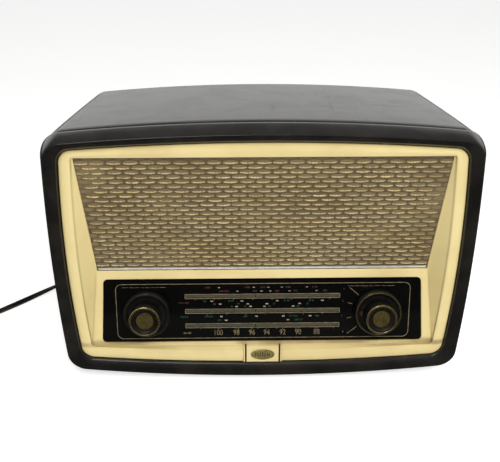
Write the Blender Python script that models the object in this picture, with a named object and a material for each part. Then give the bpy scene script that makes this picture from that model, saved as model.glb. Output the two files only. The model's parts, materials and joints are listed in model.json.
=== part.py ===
"""A tabletop valve radio: moulded cabinet, dished front, leaning dial and concentric knobs.

Sizes and places are in millimetres and turn into metres in add_object. X runs to the right of
someone facing the dial, Y to the back and Z up. The origin is on the table, under the middle of
the set. "depth" is the distance behind the foremost line of the cabinet's rim.
"""

import math

import bmesh
import bpy
import numpy as np
from mathutils import Vector

MM = 0.001

# Cabinet
HALF_WIDTH = 212.3
CABINET_TOP = 281.0
CABINET_BOTTOM = 1.6
REAR_HALF_WIDTH = 199.0
REAR_TOP = 272.5
REAR_BOTTOM = 6.0
BODY_DEPTH = 206.0
RIM_DEPTH = 24.5
WALL = 3.5
GAP = 0.3
SIDE_BOW = 0.0175
TOP_ARCH = 0.0737
BOTTOM_ARCH = 0.095
CORNER = 18.0
CORNER_STEPS = 5
SIDE_COUNTS = (8, 6, 8, 6)
REAR_ARCH = 0.07
REAR_SAG = 0.05
NARROWING = 1.15
ROLL_DEPTH = 9.0
ROLL_CREST = 0.42
LEDGE_DEPTH = 10.0
GROOVE = 1.5
BODY_INSET = 0.8

# Front moulding
FRONT_HALF_WIDTH = 194.5
FRONT_TOP = 267.4
FRONT_BOTTOM = 23.0
FRONT_CORNER = 12.0
FRONT_BOW = 0.026
LIP_HALF_WIDTH = 185.5
LIP_TOP = 261.0
LIP_BOTTOM = 37.5
LIP_CORNER = 6.5
LIP_DEPTH = 3.0
LIP_ROUNDING = 2.5
FRONT_WALL = 1.5
GRILLE_TOP = 253.4
GRILLE_HALF_TOP = 177.4
FOLD_HEIGHT = 125.8
FOLD_HALF = 169.6
DISH_BOTTOM = 43.0
DISH_HALF_BOTTOM = 179.4
GRILLE_SLOPE = math.radians(7.486)

# Dial: up and across are measured on the glass from the middle of the knobs' line
DIAL_LEAN = math.radians(11.2)
DIAL_HEIGHT = 80.4
DIAL_DEPTH = 15.2
DIAL_FACE_DEPTH = 13.4
DIAL_TOP_UP = 36.2
DIAL_BOTTOM_UP = -33.2
DIAL_HALF = 165.0
KNOB_X = 119.2
POINTER_X = -7.0

# Controls
INNER_KNOB_R = 15.7
INNER_KNOB_FACE = 29.0
OUTER_KNOB_R = 24.1
OUTER_KNOB_FACE = 11.8
DRUM_R = 45.0
DRUM_X = 10.0
SPINDLE_R = 4.0
PULLEY_R = 5.0
PULLEY_X = 92.0
PULLEY_UP = 45.0
CORD_PLANE = -17.5
DRIVE_CORD_R = 0.5

# Grille and loudspeaker
SPEAKER_UP = 66.0
SPEAKER_STRETCH = 1.55
CONE_R = 52.0

# The badge over the front's lower lip
BADGE_HALF = 20.3
BADGE_LOW = 23.4
BADGE_HIGH = 46.4
BADGE_DEPTH = 2.2
OVAL_HALF = 12.5
OVAL_HEIGHT = 35.0

# Chassis
CHASSIS_FRONT = 90.0
CHASSIS_REAR = 182.0
CHASSIS_DECK = 58.0
CHASSIS_FOOT = 15.0
CHASSIS_HALF = 153.0
SHEET = 1.2
POST_X = 146.0
POST_DEPTHS = (98.0, 172.0)
FOOT_TOP = 7.1
POST_R = 10.5
POST_LOW = 7.4

# Back cover
COVER_DEPTH = 199.0
COVER_THICK = 3.0
SLOT_HEIGHTS = (88, 112, 214, 238)
SLOT_PITCH = 60.0

# Mains lead: a twin flex that lies on the table behind and to the left, the rest of it coiled
LEAD_D = 6.8
LEAD_PITCH = 6.9
LEAD_Z = 3.7
LEAD_EXIT = (-120.0, 32.0)
BOOT_LENGTH = 34.0
LEAD_ROUTE = (
    (-120.0, 233.2, 32.0),
    (-120.2, 246.0, 31.4),
    (-123.5, 259.0, 27.0),
    (-131.0, 271.5, 19.5),
    (-144.0, 281.0, 10.5),
    (-162.0, 285.5, 5.0),
    (-184.0, 283.0, LEAD_Z),
    (-207.0, 270.5, LEAD_Z),
    (-229.0, 250.0, LEAD_Z),
    (-249.0, 226.0, LEAD_Z),
    (-267.0, 203.5, LEAD_Z),
    (-281.0, 187.5, LEAD_Z),
    (-295.0, 171.5, LEAD_Z),
    (-309.5, 155.5, LEAD_Z),
)
COIL_CENTRE = (-382.0, 147.0)
COIL_TURNS = 6.425
COIL_MEAN_R = 34.8
COIL_ENTRY = math.radians(-44.5)
PLUG_REACH = 20.0
PLUG_Z = 12.0
PLUG_BASE = 0.2
PLUG_THICK = 24.0

KNOB_PROUD = INNER_KNOB_FACE * math.cos(DIAL_LEAN) - DIAL_DEPTH + INNER_KNOB_R * math.sin(DIAL_LEAN)
FRONT_Y = (KNOB_PROUD - BODY_DEPTH) / 2


def clear_scene():
    for old in list(bpy.data.objects):
        bpy.data.objects.remove(old, do_unlink=True)


def finish_material(name, colour, roughness, metallic=0.0):
    material = bpy.data.materials.get(name)
    if material:
        return material
    material = bpy.data.materials.new(name)
    material.use_nodes = True
    shader = material.node_tree.nodes["Principled BSDF"]
    shader.inputs["Base Color"].default_value = (*colour, 1.0)
    shader.inputs["Roughness"].default_value = roughness
    shader.inputs["Metallic"].default_value = metallic
    material.diffuse_color = (*colour, 1.0)
    return material


def add_empty(name, at, turn):
    empty = bpy.data.objects.new(name, None)
    empty.location = Vector(at) * MM
    empty.rotation_euler = turn
    bpy.context.scene.collection.objects.link(empty)
    return empty


def add_object(name, bm, material, at=(0, 0, 0), parent=None, turn=(0, 0, 0), smooth=35):
    """Turns a mesh in millimetres into a placed object in metres."""
    bmesh.ops.remove_doubles(bm, verts=bm.verts, dist=0.005)
    bmesh.ops.recalc_face_normals(bm, faces=bm.faces)
    bmesh.ops.scale(bm, vec=(MM, MM, MM), verts=bm.verts)
    mesh = bpy.data.meshes.new(name)
    bm.to_mesh(mesh)
    bm.free()
    mesh.materials.append(material)
    mesh.shade_smooth()
    mesh.set_sharp_from_angle(angle=math.radians(smooth))
    obj = bpy.data.objects.new(name, mesh)
    obj.location = Vector(at) * MM
    obj.rotation_euler = turn
    obj.parent = parent
    bpy.context.scene.collection.objects.link(obj)
    return obj


def hide_helper(obj):
    obj.hide_render = True
    obj.display_type = "WIRE"


def boolean(target, other, operation):
    hide_helper(other)
    modifier = target.modifiers.new(operation.title(), "BOOLEAN")
    modifier.operation = operation
    modifier.solver = "EXACT"
    modifier.object = other


def skin(rings, ends="closed"):
    """A mesh through equally long rings of points: a ring of rings, or one with capped ends."""
    bm = bmesh.new()
    loops = [[bm.verts.new(point) for point in ring] for ring in rings]
    pairs = list(zip(loops, loops[1:]))
    if ends == "closed":
        pairs.append((loops[-1], loops[0]))
    else:
        bm.faces.new(loops[0])
        bm.faces.new(loops[-1])
    for first, second in pairs:
        for i in range(len(first)):
            j = (i + 1) % len(first)
            bm.faces.new((first[i], first[j], second[j], second[i]))
    return bm


def turned(profile, sides=28, stretch=1.0):
    """A shape turned about Z from (radius, height) points; a profile off the axis closes on itself."""
    bm = bmesh.new()
    loops = []
    for radius, height in profile:
        if radius < 0.001:
            loops.append([bm.verts.new((0, 0, height))])
            continue
        angles = [2 * math.pi * k / sides for k in range(sides)]
        ring = [(radius * stretch * math.cos(a), radius * math.sin(a), height) for a in angles]
        loops.append([bm.verts.new(point) for point in ring])
    pairs = list(zip(loops, loops[1:]))
    if len(loops[0]) > 1:
        pairs.append((loops[-1], loops[0]))
    for first, second in pairs:
        for i in range(sides):
            j = (i + 1) % sides
            if len(first) == 1:
                bm.faces.new((first[0], second[i], second[j]))
            elif len(second) == 1:
                bm.faces.new((first[i], first[j], second[0]))
            else:
                bm.faces.new((first[i], first[j], second[j], second[i]))
    return bm


def plate(outline, low, high, holes=()):
    """A flat plate with holes: the outline and the holes are lists of (x, y), filled and extruded."""
    bm = bmesh.new()
    edges = []
    for loop in (outline, *holes):
        verts = [bm.verts.new((x, y, low)) for x, y in loop]
        edges += [bm.edges.new((a, b)) for a, b in zip(verts, verts[1:] + verts[:1])]
    filled = bmesh.ops.triangle_fill(bm, use_beauty=True, edges=edges, normal=(0, 0, 1))
    faces = [item for item in filled["geom"] if isinstance(item, bmesh.types.BMFace)]
    raised = bmesh.ops.extrude_face_region(bm, geom=faces, use_keep_orig=True)
    lifted = [item for item in raised["geom"] if isinstance(item, bmesh.types.BMVert)]
    bmesh.ops.translate(bm, vec=(0, 0, high - low), verts=lifted)
    return bm


def block(size, centre=(0, 0, 0)):
    bm = bmesh.new()
    bmesh.ops.create_cube(bm, size=1.0)
    bmesh.ops.scale(bm, vec=size, verts=bm.verts)
    bmesh.ops.translate(bm, vec=centre, verts=bm.verts)
    return bm


def circle(radius, centre=(0.0, 0.0), sides=24, stretch=1.0):
    angles = [2 * math.pi * k / sides for k in range(sides)]
    return [(centre[0] + radius * stretch * math.cos(a), centre[1] + radius * math.sin(a)) for a in angles]


def rounded_box(half_x, low_y, high_y, corner, steps=4):
    points = []
    for cx, cy, start in (
        (half_x - corner, high_y - corner, 0),
        (corner - half_x, high_y - corner, 90),
        (corner - half_x, low_y + corner, 180),
        (half_x - corner, low_y + corner, 270),
    ):
        for k in range(steps + 1):
            a = math.radians(start + 90 * k / steps)
            points.append((cx + corner * math.cos(a), cy + corner * math.sin(a)))
    return points


# Outlines of the cabinet and the front, all with the same count of points


def bowed_outline(half_width, top, bottom, corner, bow=SIDE_BOW, arch=TOP_ARCH, sag=BOTTOM_ARCH):
    """Points round a rounded oblong with bowed sides, as (x, z), anticlockwise from the right."""
    middle = (top + bottom) / 2
    half = (top - bottom) / 2
    points = []
    per_corner = CORNER_STEPS + 1
    corners = rounded_box(half_width, -half, half, corner, CORNER_STEPS)
    for side, count in enumerate(SIDE_COUNTS):
        arc = corners[side * per_corner : (side + 1) * per_corner]
        following = corners[(side + 1) * per_corner % len(corners)]
        points += arc
        for k in range(1, count):
            share = k / count
            points.append(tuple(a + (b - a) * share for a, b in zip(arc[-1], following)))
    shaped = []
    for x, z in points:
        lift = arch if z > 0 else sag
        bowed_x = x * (1 - bow * (z / half) ** 2)
        shaped.append((bowed_x, middle + z * (1 - lift * (x / half_width) ** 2)))
    return shaped


def blend(first, second, share):
    return [(a[0] + (b[0] - a[0]) * share, a[1] + (b[1] - a[1]) * share) for a, b in zip(first, second)]


def ring_at(outline, depth):
    return [(x, depth, z) for x, z in outline]


def cabinet_outline(inset=0.0):
    return bowed_outline(HALF_WIDTH - inset, CABINET_TOP - inset, CABINET_BOTTOM + inset, CORNER - inset)


def rear_outline(inset=0.0):
    half, top, bottom = REAR_HALF_WIDTH - inset, REAR_TOP - inset, REAR_BOTTOM + inset
    return bowed_outline(half, top, bottom, CORNER - inset, arch=REAR_ARCH, sag=REAR_SAG)


def body_outline(depth, inset=0.0):
    """The body's outline between the rim and the back edge; it narrows faster near the back."""
    share = max(0.0, (depth - RIM_DEPTH) / (BODY_DEPTH - RIM_DEPTH))
    return blend(cabinet_outline(inset), rear_outline(inset), share**NARROWING)


def front_outline(grow=0.0):
    half, top, bottom = FRONT_HALF_WIDTH + grow, FRONT_TOP + grow, FRONT_BOTTOM - grow
    return bowed_outline(half, top, bottom, FRONT_CORNER + grow, FRONT_BOW, arch=0.06, sag=0.07)


def lip_outline(inset=0.0):
    half, top, bottom = LIP_HALF_WIDTH - inset, LIP_TOP - inset, LIP_BOTTOM + inset
    return bowed_outline(half, top, bottom, LIP_CORNER - inset, FRONT_BOW, arch=0.03, sag=0.05)


def dial_face_depth(z):
    return DIAL_FACE_DEPTH + (z - DIAL_HEIGHT) * math.tan(DIAL_LEAN)


def dish_half(z):
    """Half the width of the dished middle at a height."""
    if z > FOLD_HEIGHT:
        share = (z - FOLD_HEIGHT) / (GRILLE_TOP - FOLD_HEIGHT)
        return FOLD_HALF + (GRILLE_HALF_TOP - FOLD_HALF) * share
    share = (z - DISH_BOTTOM) / (FOLD_HEIGHT - DISH_BOTTOM)
    return DISH_HALF_BOTTOM + (FOLD_HALF - DISH_HALF_BOTTOM) * share


def dish_depth(z):
    if z > FOLD_HEIGHT:
        return dial_face_depth(FOLD_HEIGHT) - (z - FOLD_HEIGHT) * math.tan(GRILLE_SLOPE)
    return dial_face_depth(z)


def dish_ring(further=0.0):
    """The edge of the dished middle, point for point inside the lip."""
    outline = lip_outline(LIP_ROUNDING)
    nearest = {}
    for side in (-1, 1):
        on_side = [p for p in outline if p[0] * side > FOLD_HALF / 2]
        nearest[side] = min(on_side, key=lambda p: abs(p[1] - FOLD_HEIGHT))
    ring = []
    for x, z in outline:
        side = 1 if x > 0 else -1
        on_fold = (x, z) == nearest[side]
        z = FOLD_HEIGHT if on_fold else min(max(z, DISH_BOTTOM), GRILLE_TOP)
        half = dish_half(z)
        edge = on_fold or abs(x) > half or (DISH_BOTTOM < z < GRILLE_TOP)
        ring.append((half * side if edge else x, dish_depth(z) + further, z))
    return ring


def make_cabinet(shell):
    outer = cabinet_outline()
    opening = front_outline(GAP)
    rings = [ring_at(opening, LEDGE_DEPTH)]
    for a in np.radians((90, 60, 30)):
        share = ROLL_CREST + (1 - ROLL_CREST) * math.sin(a)
        rings.append(ring_at(blend(outer, opening, share), 7.0 * (1 - math.cos(a))))
    for a in np.radians((90, 60, 30, 0)):
        share = ROLL_CREST * (1 - math.cos(a))
        rings.append(ring_at(blend(outer, opening, share), ROLL_DEPTH * (1 - math.sin(a))))
    rings.append(ring_at(outer, RIM_DEPTH))
    rings.append(ring_at(cabinet_outline(GROOVE), RIM_DEPTH + 0.2))
    rings.append(ring_at(body_outline(RIM_DEPTH + 1, BODY_INSET), RIM_DEPTH + 1))
    for depth in (80, 145, BODY_DEPTH):
        inset = BODY_INSET * (BODY_DEPTH - depth) / BODY_DEPTH
        rings.append(ring_at(body_outline(depth, inset), depth))
    rings += [ring_at(body_outline(d, WALL + BODY_INSET), d) for d in (BODY_DEPTH, 120, 40)]
    rings.append(ring_at(cabinet_outline(WALL + 1), LEDGE_DEPTH))
    cabinet = add_object("cabinet_shell", skin(rings), shell, at=(0, FRONT_Y, 0))
    for side in (-1, 1):
        for depth in POST_DEPTHS:
            top = CHASSIS_FOOT - GAP
            post = turned([(0, POST_LOW), (POST_R, POST_LOW), (POST_R, top), (0, top)], 16)
            at = (side * POST_X, FRONT_Y + depth, 0)
            boolean(cabinet, add_object("chassis_post", post, shell, at=at), "UNION")


def open_grille(bm):
    """Folds both caps where the grille's slope meets the dial's and joins the openings above it."""
    mouths = []
    for cap in [face for face in bm.faces if len(face.verts) > 20]:
        ends = [v for v in cap.verts if abs(v.co.z - FOLD_HEIGHT) < 0.001]
        halves = (bmesh.utils.face_split(cap, ends[0], ends[1])[0], cap)
        upper = max(halves, key=lambda face: face.calc_center_median().z)
        mouths += list(upper.edges)
        bmesh.ops.delete(bm, geom=[upper], context="FACES_ONLY")
    bmesh.ops.bridge_loops(bm, edges=mouths)


def make_front(cream, dial):
    opening = front_outline(-GAP)
    lip = lip_outline()
    back = LEDGE_DEPTH + GAP + FRONT_WALL
    rings = [dish_ring(), ring_at(lip_outline(LIP_ROUNDING), 3.6)]
    for share, depth in ((1.0, LIP_DEPTH), (0.6, 3.3), (0.25, 4.6), (0.0, 7.0)):
        rings.append(ring_at(blend(opening, lip, share), depth))
    rings.append(ring_at(opening, LEDGE_DEPTH + GAP))
    rings.append(ring_at(front_outline(4.0), LEDGE_DEPTH + GAP))
    rings.append(ring_at(front_outline(4.0), back))
    rings.append(ring_at(front_outline(-2.2), back))
    rings.append(ring_at(blend(opening, lip, 0.7), 5.2))
    rings.append(ring_at(lip_outline(3.5), 3.6 + FRONT_WALL))
    rings.append(dish_ring(FRONT_WALL))
    bm = skin(rings, ends="capped")
    bmesh.ops.remove_doubles(bm, verts=bm.verts, dist=0.005)
    open_grille(bm)
    front = add_object("front_fascia", bm, cream, at=(0, FRONT_Y, 0))
    window = rounded_box(DIAL_HALF, DIAL_BOTTOM_UP, DIAL_TOP_UP, 4.5)
    boolean(front, add_object("dial_cutter", plate(window, -12, 12), cream, parent=dial), "DIFFERENCE")
    notch = block((2 * (BADGE_HALF + 0.4), 9.0, 24.0), (0, 5.5, 34.8))
    boolean(front, add_object("badge_cutter", notch, cream, at=(0, FRONT_Y, 0)), "DIFFERENCE")


def make_badge(cream, brass):
    low, high = BADGE_LOW, BADGE_HIGH
    side = [(9.6, low), (9.6, high - 6), (7.0, high - 3), (7.0, high), (4.6, high)]
    side += [(BADGE_DEPTH, high - 4), (BADGE_DEPTH, low)]
    bm = skin([[(x, y, z) for y, z in side] for x in (-BADGE_HALF, BADGE_HALF)], ends="capped")
    add_object("badge_block", bm, cream, at=(0, FRONT_Y, 0))
    oval = turned([(0, 0), (OVAL_HALF, 0), (OVAL_HALF, 0.7), (OVAL_HALF - 1.4, 1.1), (0, 1.1)], 28)
    bmesh.ops.scale(oval, vec=(1, 0.5, 1), verts=oval.verts)
    at = (0, FRONT_Y + BADGE_DEPTH - GAP, OVAL_HEIGHT)
    add_object("oval_badge", oval, brass, at=at, turn=(math.pi / 2, 0, 0))


def make_grille(cloth, board, metal, steel, paper, grille):
    top_up = (GRILLE_TOP - FOLD_HEIGHT) / math.cos(GRILLE_SLOPE)

    def trapezium(grow):
        pair = [(FOLD_HALF + grow, -0.6 * grow), (GRILLE_HALF_TOP + grow, top_up + grow)]
        return pair + [(-x, y) for x, y in reversed(pair)]

    add_object("speaker_cloth", plate(trapezium(2.4), -2.7, -1.9), cloth, parent=grille)
    hole = circle(CONE_R + 2, (0, SPEAKER_UP), 24, SPEAKER_STRETCH)
    baffle = plate(trapezium(2.4), -8.0, -3.0, [hole])
    add_object("baffle_board", baffle, board, parent=grille)
    strip = block((2 * FOLD_HALF - 4, 1.5, 1.4), (0, 1.5, -1.0))
    add_object("grille_trim_strip", strip, metal, parent=grille)

    at = (0, SPEAKER_UP, 0)
    r = CONE_R
    basket = [(r + 9, -8.3), (r + 9, -9.5), (r + 3, -11), (r + 2, -22), (33, -46), (24, -47)]
    basket += [(24, -45.8), (31.7, -45), (r + 0.8, -21.5), (r + 1, -8.3)]
    add_object("speaker_frame", turned(basket, 24, SPEAKER_STRETCH), steel, at=at, parent=grille)
    magnet = [(0, -47.3), (20, -47.3), (23, -49), (23, -70), (20, -72), (0, -72)]
    add_object("speaker_magnet", turned(magnet, 24), steel, at=at, parent=grille)
    cone = [(0, -38.5), (r - 3.5, -13.5), (r - 2.5, -14.3), (12, -39.5), (11, -42.3), (0, -42.3)]
    add_object("speaker_cone", turned(cone, 24, SPEAKER_STRETCH), paper, at=at, parent=grille)


def knob_at(name, profile, material, dial, x, sides=24):
    return add_object(name, turned(profile, sides), material, at=(x, 0, 0), parent=dial)


def make_knobs(black, brass, dial):
    r, face = OUTER_KNOB_R, OUTER_KNOB_FACE
    for name, x in (("tone_knob", -KNOB_X), ("wave_knob", KNOB_X)):
        step = [(6.3, 1.2), (r, 1.2), (r, face - 3), (r - 0.8, face - 0.8)]
        step += [(r - 2.4, face - 0.2), (r - 4.0, face - 0.6), (r - 5, face - 1.6), (6.3, face - 1.6)]
        knob_at(name, step, black, dial, x)
    ring = [(r - 2.4, face + GAP), (r - 0.6, face + GAP), (r - 0.6, face + 0.9), (r - 2.4, face + 0.9)]
    knob_at("wave_knob_ring", ring, brass, dial, KNOB_X)
    r, face = INNER_KNOB_R, INNER_KNOB_FACE
    for name, x in (("volume_knob", -KNOB_X), ("tuning_knob", KNOB_X)):
        base = OUTER_KNOB_FACE + 1.4
        body = [(3.0, base), (r - 0.6, base), (r - 0.6, face - 2.2)]
        body += [(r - 2.6, face - 2.2), (r - 2.6, face - 1.4), (10.6, face - 3.4), (9.6, face - 3.4)]
        body += [(9.6, face - 4.6), (3.0, face - 4.6)]
        knob_at(name, body, black, dial, x)
        rim = [(r - 2.3, face - 1.9), (r, face - 1.9), (r, face - 0.6)]
        rim += [(r - 0.6, face), (r - 2.3, face - 0.4)]
        knob_at(name + "_ring", rim, brass, dial, x)
        disc = [(0, face - 4.3), (8.9, face - 4.3), (8.9, face - 2.9), (8.2, face - 2.5), (0, face - 2.5)]
        knob_at(name + "_disc", disc, brass, dial, x)


def make_shafts(steel, dial):
    top = INNER_KNOB_FACE - 4.9
    for name, x, end in (("volume_shaft", -KNOB_X, -34.0), ("tuning_spindle", KNOB_X, -30.0)):
        groove = [(0, end), (2.7, end), (2.7, top), (0, top)]
        if name == "tuning_spindle":
            groove[2:2] = [(2.7, -22.0), (SPINDLE_R - 0.8, -21.0), (SPINDLE_R - 0.8, -14.0), (2.7, -13.0)]
        knob_at(name, groove, steel, dial, x, 16)
    for name, x, end in (("tone_shaft", -KNOB_X, -24.0), ("wave_shaft", KNOB_X, -12.8)):
        bush = [(3.2, end), (6.0, end), (6.0, OUTER_KNOB_FACE - 2.2), (3.2, OUTER_KNOB_FACE - 2.2)]
        knob_at(name, bush, steel, dial, x, 16)


def make_dial(glass, ivory, red, steel, lamp, dial):
    knob_holes = [circle(7.5, (x, 0)) for x in (-KNOB_X, KNOB_X)]
    sheet = rounded_box(DIAL_HALF + 4, DIAL_BOTTOM_UP - 2, DIAL_TOP_UP + 2.4, 5)
    add_object("dial_glass", plate(sheet, -3.0, -GAP, knob_holes), glass, parent=dial)
    back_holes = [circle(9, (x, 0)) for x in (-KNOB_X, KNOB_X)]
    back = rounded_box(DIAL_HALF - 6, -31, 30, 2)
    add_object("dial_backplate", plate(back, -9.2, -8.0, back_holes), ivory, parent=dial)

    top = PULLEY_UP + PULLEY_R
    hook = [(-7.4, -22), (-7.4, 31.2), (-12.0, 31.2), (-12.0, top + 0.9), (-18.5, top + 0.9)]
    hook += [(-18.5, top + 2), (-10.8, top + 2), (-10.8, 32.4), (-6.2, 32.4), (-6.2, -22)]
    bm = skin([[(x, up, height) for height, up in hook] for x in (-0.6, 0.6)], ends="capped")
    add_object("dial_pointer", bm, red, at=(POINTER_X, 0, 0), parent=dial)

    bracket_holes = [circle(7.5, (-KNOB_X, 0)), circle(3.0, (KNOB_X, 0)), circle(4.5, (DRUM_X, 0))]
    bracket = plate(rounded_box(142, -30, 54, 3), -26.2, -25.0, bracket_holes)
    bracket = add_object("control_bracket", bracket, steel, parent=dial)
    for name, x in (("drive_pulley_left", -PULLEY_X), ("drive_pulley_right", PULLEY_X)):
        groove = [(1.6, -21), (7, -21), (7, -19.5), (PULLEY_R - 0.8, -18.3), (PULLEY_R - 0.8, -16.7)]
        groove += [(7, -15.5), (7, -14), (1.6, -14)]
        add_object(name, turned(groove, 16), ivory, at=(x, PULLEY_UP, 0), parent=dial)
        pin = turned([(0, -25.6), (2.6, -25.6), (2.6, -21.3), (1.3, -21.3), (1.3, -13.4), (0, -13.4)], 12)
        boolean(bracket, add_object("pulley_pin", pin, steel, at=(x, PULLEY_UP, 0), parent=dial), "UNION")
    r = DRUM_R
    drum = [(0, -21.5), (r + 2, -21.5), (r + 2, -19.6), (r - 0.8, -18.4), (r - 0.8, -16.6)]
    drum += [(r + 2, -15.4), (r + 2, -14.4), (r - 3, -14.4), (r - 3, -19.4)]
    drum += [(8, -19.4), (8, -14.4), (0, -14.4)]
    add_object("drive_drum", turned(drum, 32), ivory, at=(DRUM_X, 0, 0), parent=dial)
    for name, x in (("dial_lamp_left", -150.0), ("dial_lamp_right", 150.0)):
        bulb = turned([(0, -14), (4, -15), (5.5, -18), (5.5, -22), (4.5, -24), (4.5, -38), (0, -38)], 16)
        add_object(name, bulb, lamp, at=(x, 14, 0), parent=dial)


def tangent_points(first, r1, second, r2):
    """The touching points of the straight run on the left of two pulleys, from the first to the second."""
    gap = Vector(second) - Vector(first)
    angle = math.atan2(gap.y, gap.x) + math.pi / 2 - math.asin((r1 - r2) / gap.length)
    out = Vector((math.cos(angle), math.sin(angle)))
    return Vector(first) + out * r1, Vector(second) + out * r2


def arc_points(centre, radius, start, end, step):
    """Points round a pulley, clockwise from one point to another."""
    a = math.atan2(start.y - centre[1], start.x - centre[0])
    b = math.atan2(end.y - centre[1], end.x - centre[0])
    while b > a:
        b -= 2 * math.pi
    count = max(2, int((a - b) * radius / step))
    angles = [a + (b - a) * k / count for k in range(count + 1)]
    return [Vector((centre[0] + radius * math.cos(t), centre[1] + radius * math.sin(t))) for t in angles]


def make_drive_cord(thread, dial):
    """The loop from the drum over both pulleys and round the tuning spindle."""
    drum = (DRUM_X, 0.0)
    left = (-PULLEY_X, PULLEY_UP)
    right = (PULLEY_X, PULLEY_UP)
    spindle = (KNOB_X, 0.0)
    wheels = ((drum, DRUM_R, 7), (left, PULLEY_R, 2.5), (right, PULLEY_R, 2.5), (spindle, SPINDLE_R, 2))
    runs = []
    for i, (centre, radius, _) in enumerate(wheels):
        following, next_radius, _ = wheels[(i + 1) % 4]
        runs.append(tangent_points(centre, radius, following, next_radius))
    points = []
    for i, (centre, radius, step) in enumerate(wheels):
        points += arc_points(centre, radius, runs[i - 1][1], runs[i][0], step)
    curve = bpy.data.curves.new("drive_cord", "CURVE")
    curve.dimensions = "3D"
    curve.bevel_depth = DRIVE_CORD_R * MM
    curve.bevel_resolution = 1
    spline = curve.splines.new("POLY")
    spline.points.add(len(points) - 1)
    for point, place in zip(spline.points, points):
        point.co = (place.x * MM, place.y * MM, CORD_PLANE * MM, 1)
    spline.use_cyclic_u = True
    curve.materials.append(thread)
    obj = bpy.data.objects.new("drive_cord", curve)
    obj.parent = dial
    bpy.context.scene.collection.objects.link(obj)


def make_gang(steel, metal, dial):
    """The tuning capacitor: a tray, fixed plates and plates that turn into them."""
    at = (DRUM_X, 0, 0)
    half, inner = 24, 24 - SHEET
    tray = [(-half, 27), (-half, -half), (half, -half), (half, 27)]
    tray += [(inner, 27), (inner, -inner), (-inner, -inner), (-inner, 27)]
    add_object("gang_frame", plate(tray, -62, -28), steel, at=at, parent=dial)
    pitch = 7.0
    fixed = [(-21, -63.5), (-21, -29)]
    for k in range(4):
        top = -31.5 - k * pitch
        fixed += [(-4.6, -29 if k == 0 else top + 3.1), (-4.6, top - 1.4)]
        fixed += [(-18.5, top - 1.4), (-18.5, top - 3.9)]
    fixed += [(-4.6, top - 3.9), (-4.6, -63.5)]
    bm = skin([[(x, up, h) for x, h in fixed] for up in (-18.0, 18.0)], ends="capped")
    add_object("gang_stator", bm, metal, at=at, parent=dial)
    shaft = turned([(0, -63), (3, -63), (3, -22), (0, -22)], 16)
    rotor = add_object("gang_rotor", shaft, metal, at=at, parent=dial)
    for k in range(4):
        top = -31.5 - k * pitch
        fan = [(17 * math.cos(a), 17 * math.sin(a)) for a in np.linspace(0, math.pi, 13)]
        leaf = plate(fan, top - 3.3, top - 2.0)
        boolean(rotor, add_object("rotor_leaf", leaf, metal, at=at, parent=dial), "UNION")


def make_controls(steel, board, dial):
    knob_at("tone_control", [(6.3, -26.6), (13, -26.6), (13, -33), (6.3, -33)], steel, dial, -KNOB_X, 24)
    knob_at("volume_control", [(0, -34.3), (13, -34.3), (13, -46), (0, -46)], steel, dial, -KNOB_X, 24)
    knob_at("wave_switch", [(6.3, -10), (16, -10), (16, -12.6), (6.3, -12.6)], board, dial, KNOB_X, 24)


def make_chassis(steel):
    tray = [(CHASSIS_FRONT - 8, CHASSIS_FOOT), (CHASSIS_FRONT + SHEET, CHASSIS_FOOT)]
    tray += [(CHASSIS_FRONT + SHEET, CHASSIS_DECK - SHEET), (CHASSIS_REAR - SHEET, CHASSIS_DECK - SHEET)]
    tray += [(CHASSIS_REAR - SHEET, CHASSIS_FOOT), (CHASSIS_REAR + 8, CHASSIS_FOOT)]
    tray += [(CHASSIS_REAR + 8, CHASSIS_FOOT + SHEET), (CHASSIS_REAR, CHASSIS_FOOT + SHEET)]
    tray += [(CHASSIS_REAR, CHASSIS_DECK), (CHASSIS_FRONT, CHASSIS_DECK)]
    tray += [(CHASSIS_FRONT, CHASSIS_FOOT + SHEET), (CHASSIS_FRONT - 8, CHASSIS_FOOT + SHEET)]
    bm = skin([[(x, y, z) for y, z in tray] for x in (-CHASSIS_HALF, CHASSIS_HALF)], ends="capped")
    add_object("chassis", bm, steel, at=(0, FRONT_Y, 0))


def make_chassis_top(steel, metal, glass, black):
    deck = CHASSIS_DECK + GAP
    coil = block((50, 62, 40), (0, 0, 32))
    transformer = add_object("mains_transformer", coil, black, at=(-112, FRONT_Y + 138, deck))
    core = add_object("iron_core", block((76, 32, 64), (0, 0, 32)), steel, at=(-112, FRONT_Y + 138, deck))
    boolean(transformer, core, "UNION")
    add_object("output_transformer", block((44, 30, 38), (0, 0, 19)), steel, at=(138, FRONT_Y + 120, deck))
    can = turned([(0, 0), (17, 0), (17, 70), (15, 72), (0, 72)], 24)
    add_object("smoothing_capacitor", can, metal, at=(-48, FRONT_Y + 118, deck))
    for i, (x, y) in enumerate(((26, 112), (84, 150))):
        add_object(f"if_can_{i + 1}", block((24, 24, 52), (0, 0, 26)), metal, at=(x, FRONT_Y + y, deck))
    valves = ((-8, 112, 54), (-46, 158, 66), (40, 152, 54), (84, 112, 54), (140, 158, 72))
    for i, (x, y, height) in enumerate(valves):
        bulb = [(0, 0), (8, 0), (11, 3), (11, height - 9), (8, height - 3), (2.2, height - 1.5), (0, height)]
        add_object(f"valve_{i + 1}", turned(bulb, 16), glass, at=(x, FRONT_Y + y, deck))


def make_rear(board):
    slots = [rounded_oblong(SLOT_PITCH * k, z, 40, 7) for z in SLOT_HEIGHTS for k in range(-2, 3)]
    outline = body_outline(COVER_DEPTH, WALL + 1.4)
    bm = plate(outline, 0, COVER_THICK, slots + [circle(7.0, LEAD_EXIT, 20)])
    at = (0, FRONT_Y + COVER_DEPTH + COVER_THICK, 0)
    add_object("rear_cover", bm, board, at=at, turn=(math.pi / 2, 0, 0))


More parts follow.
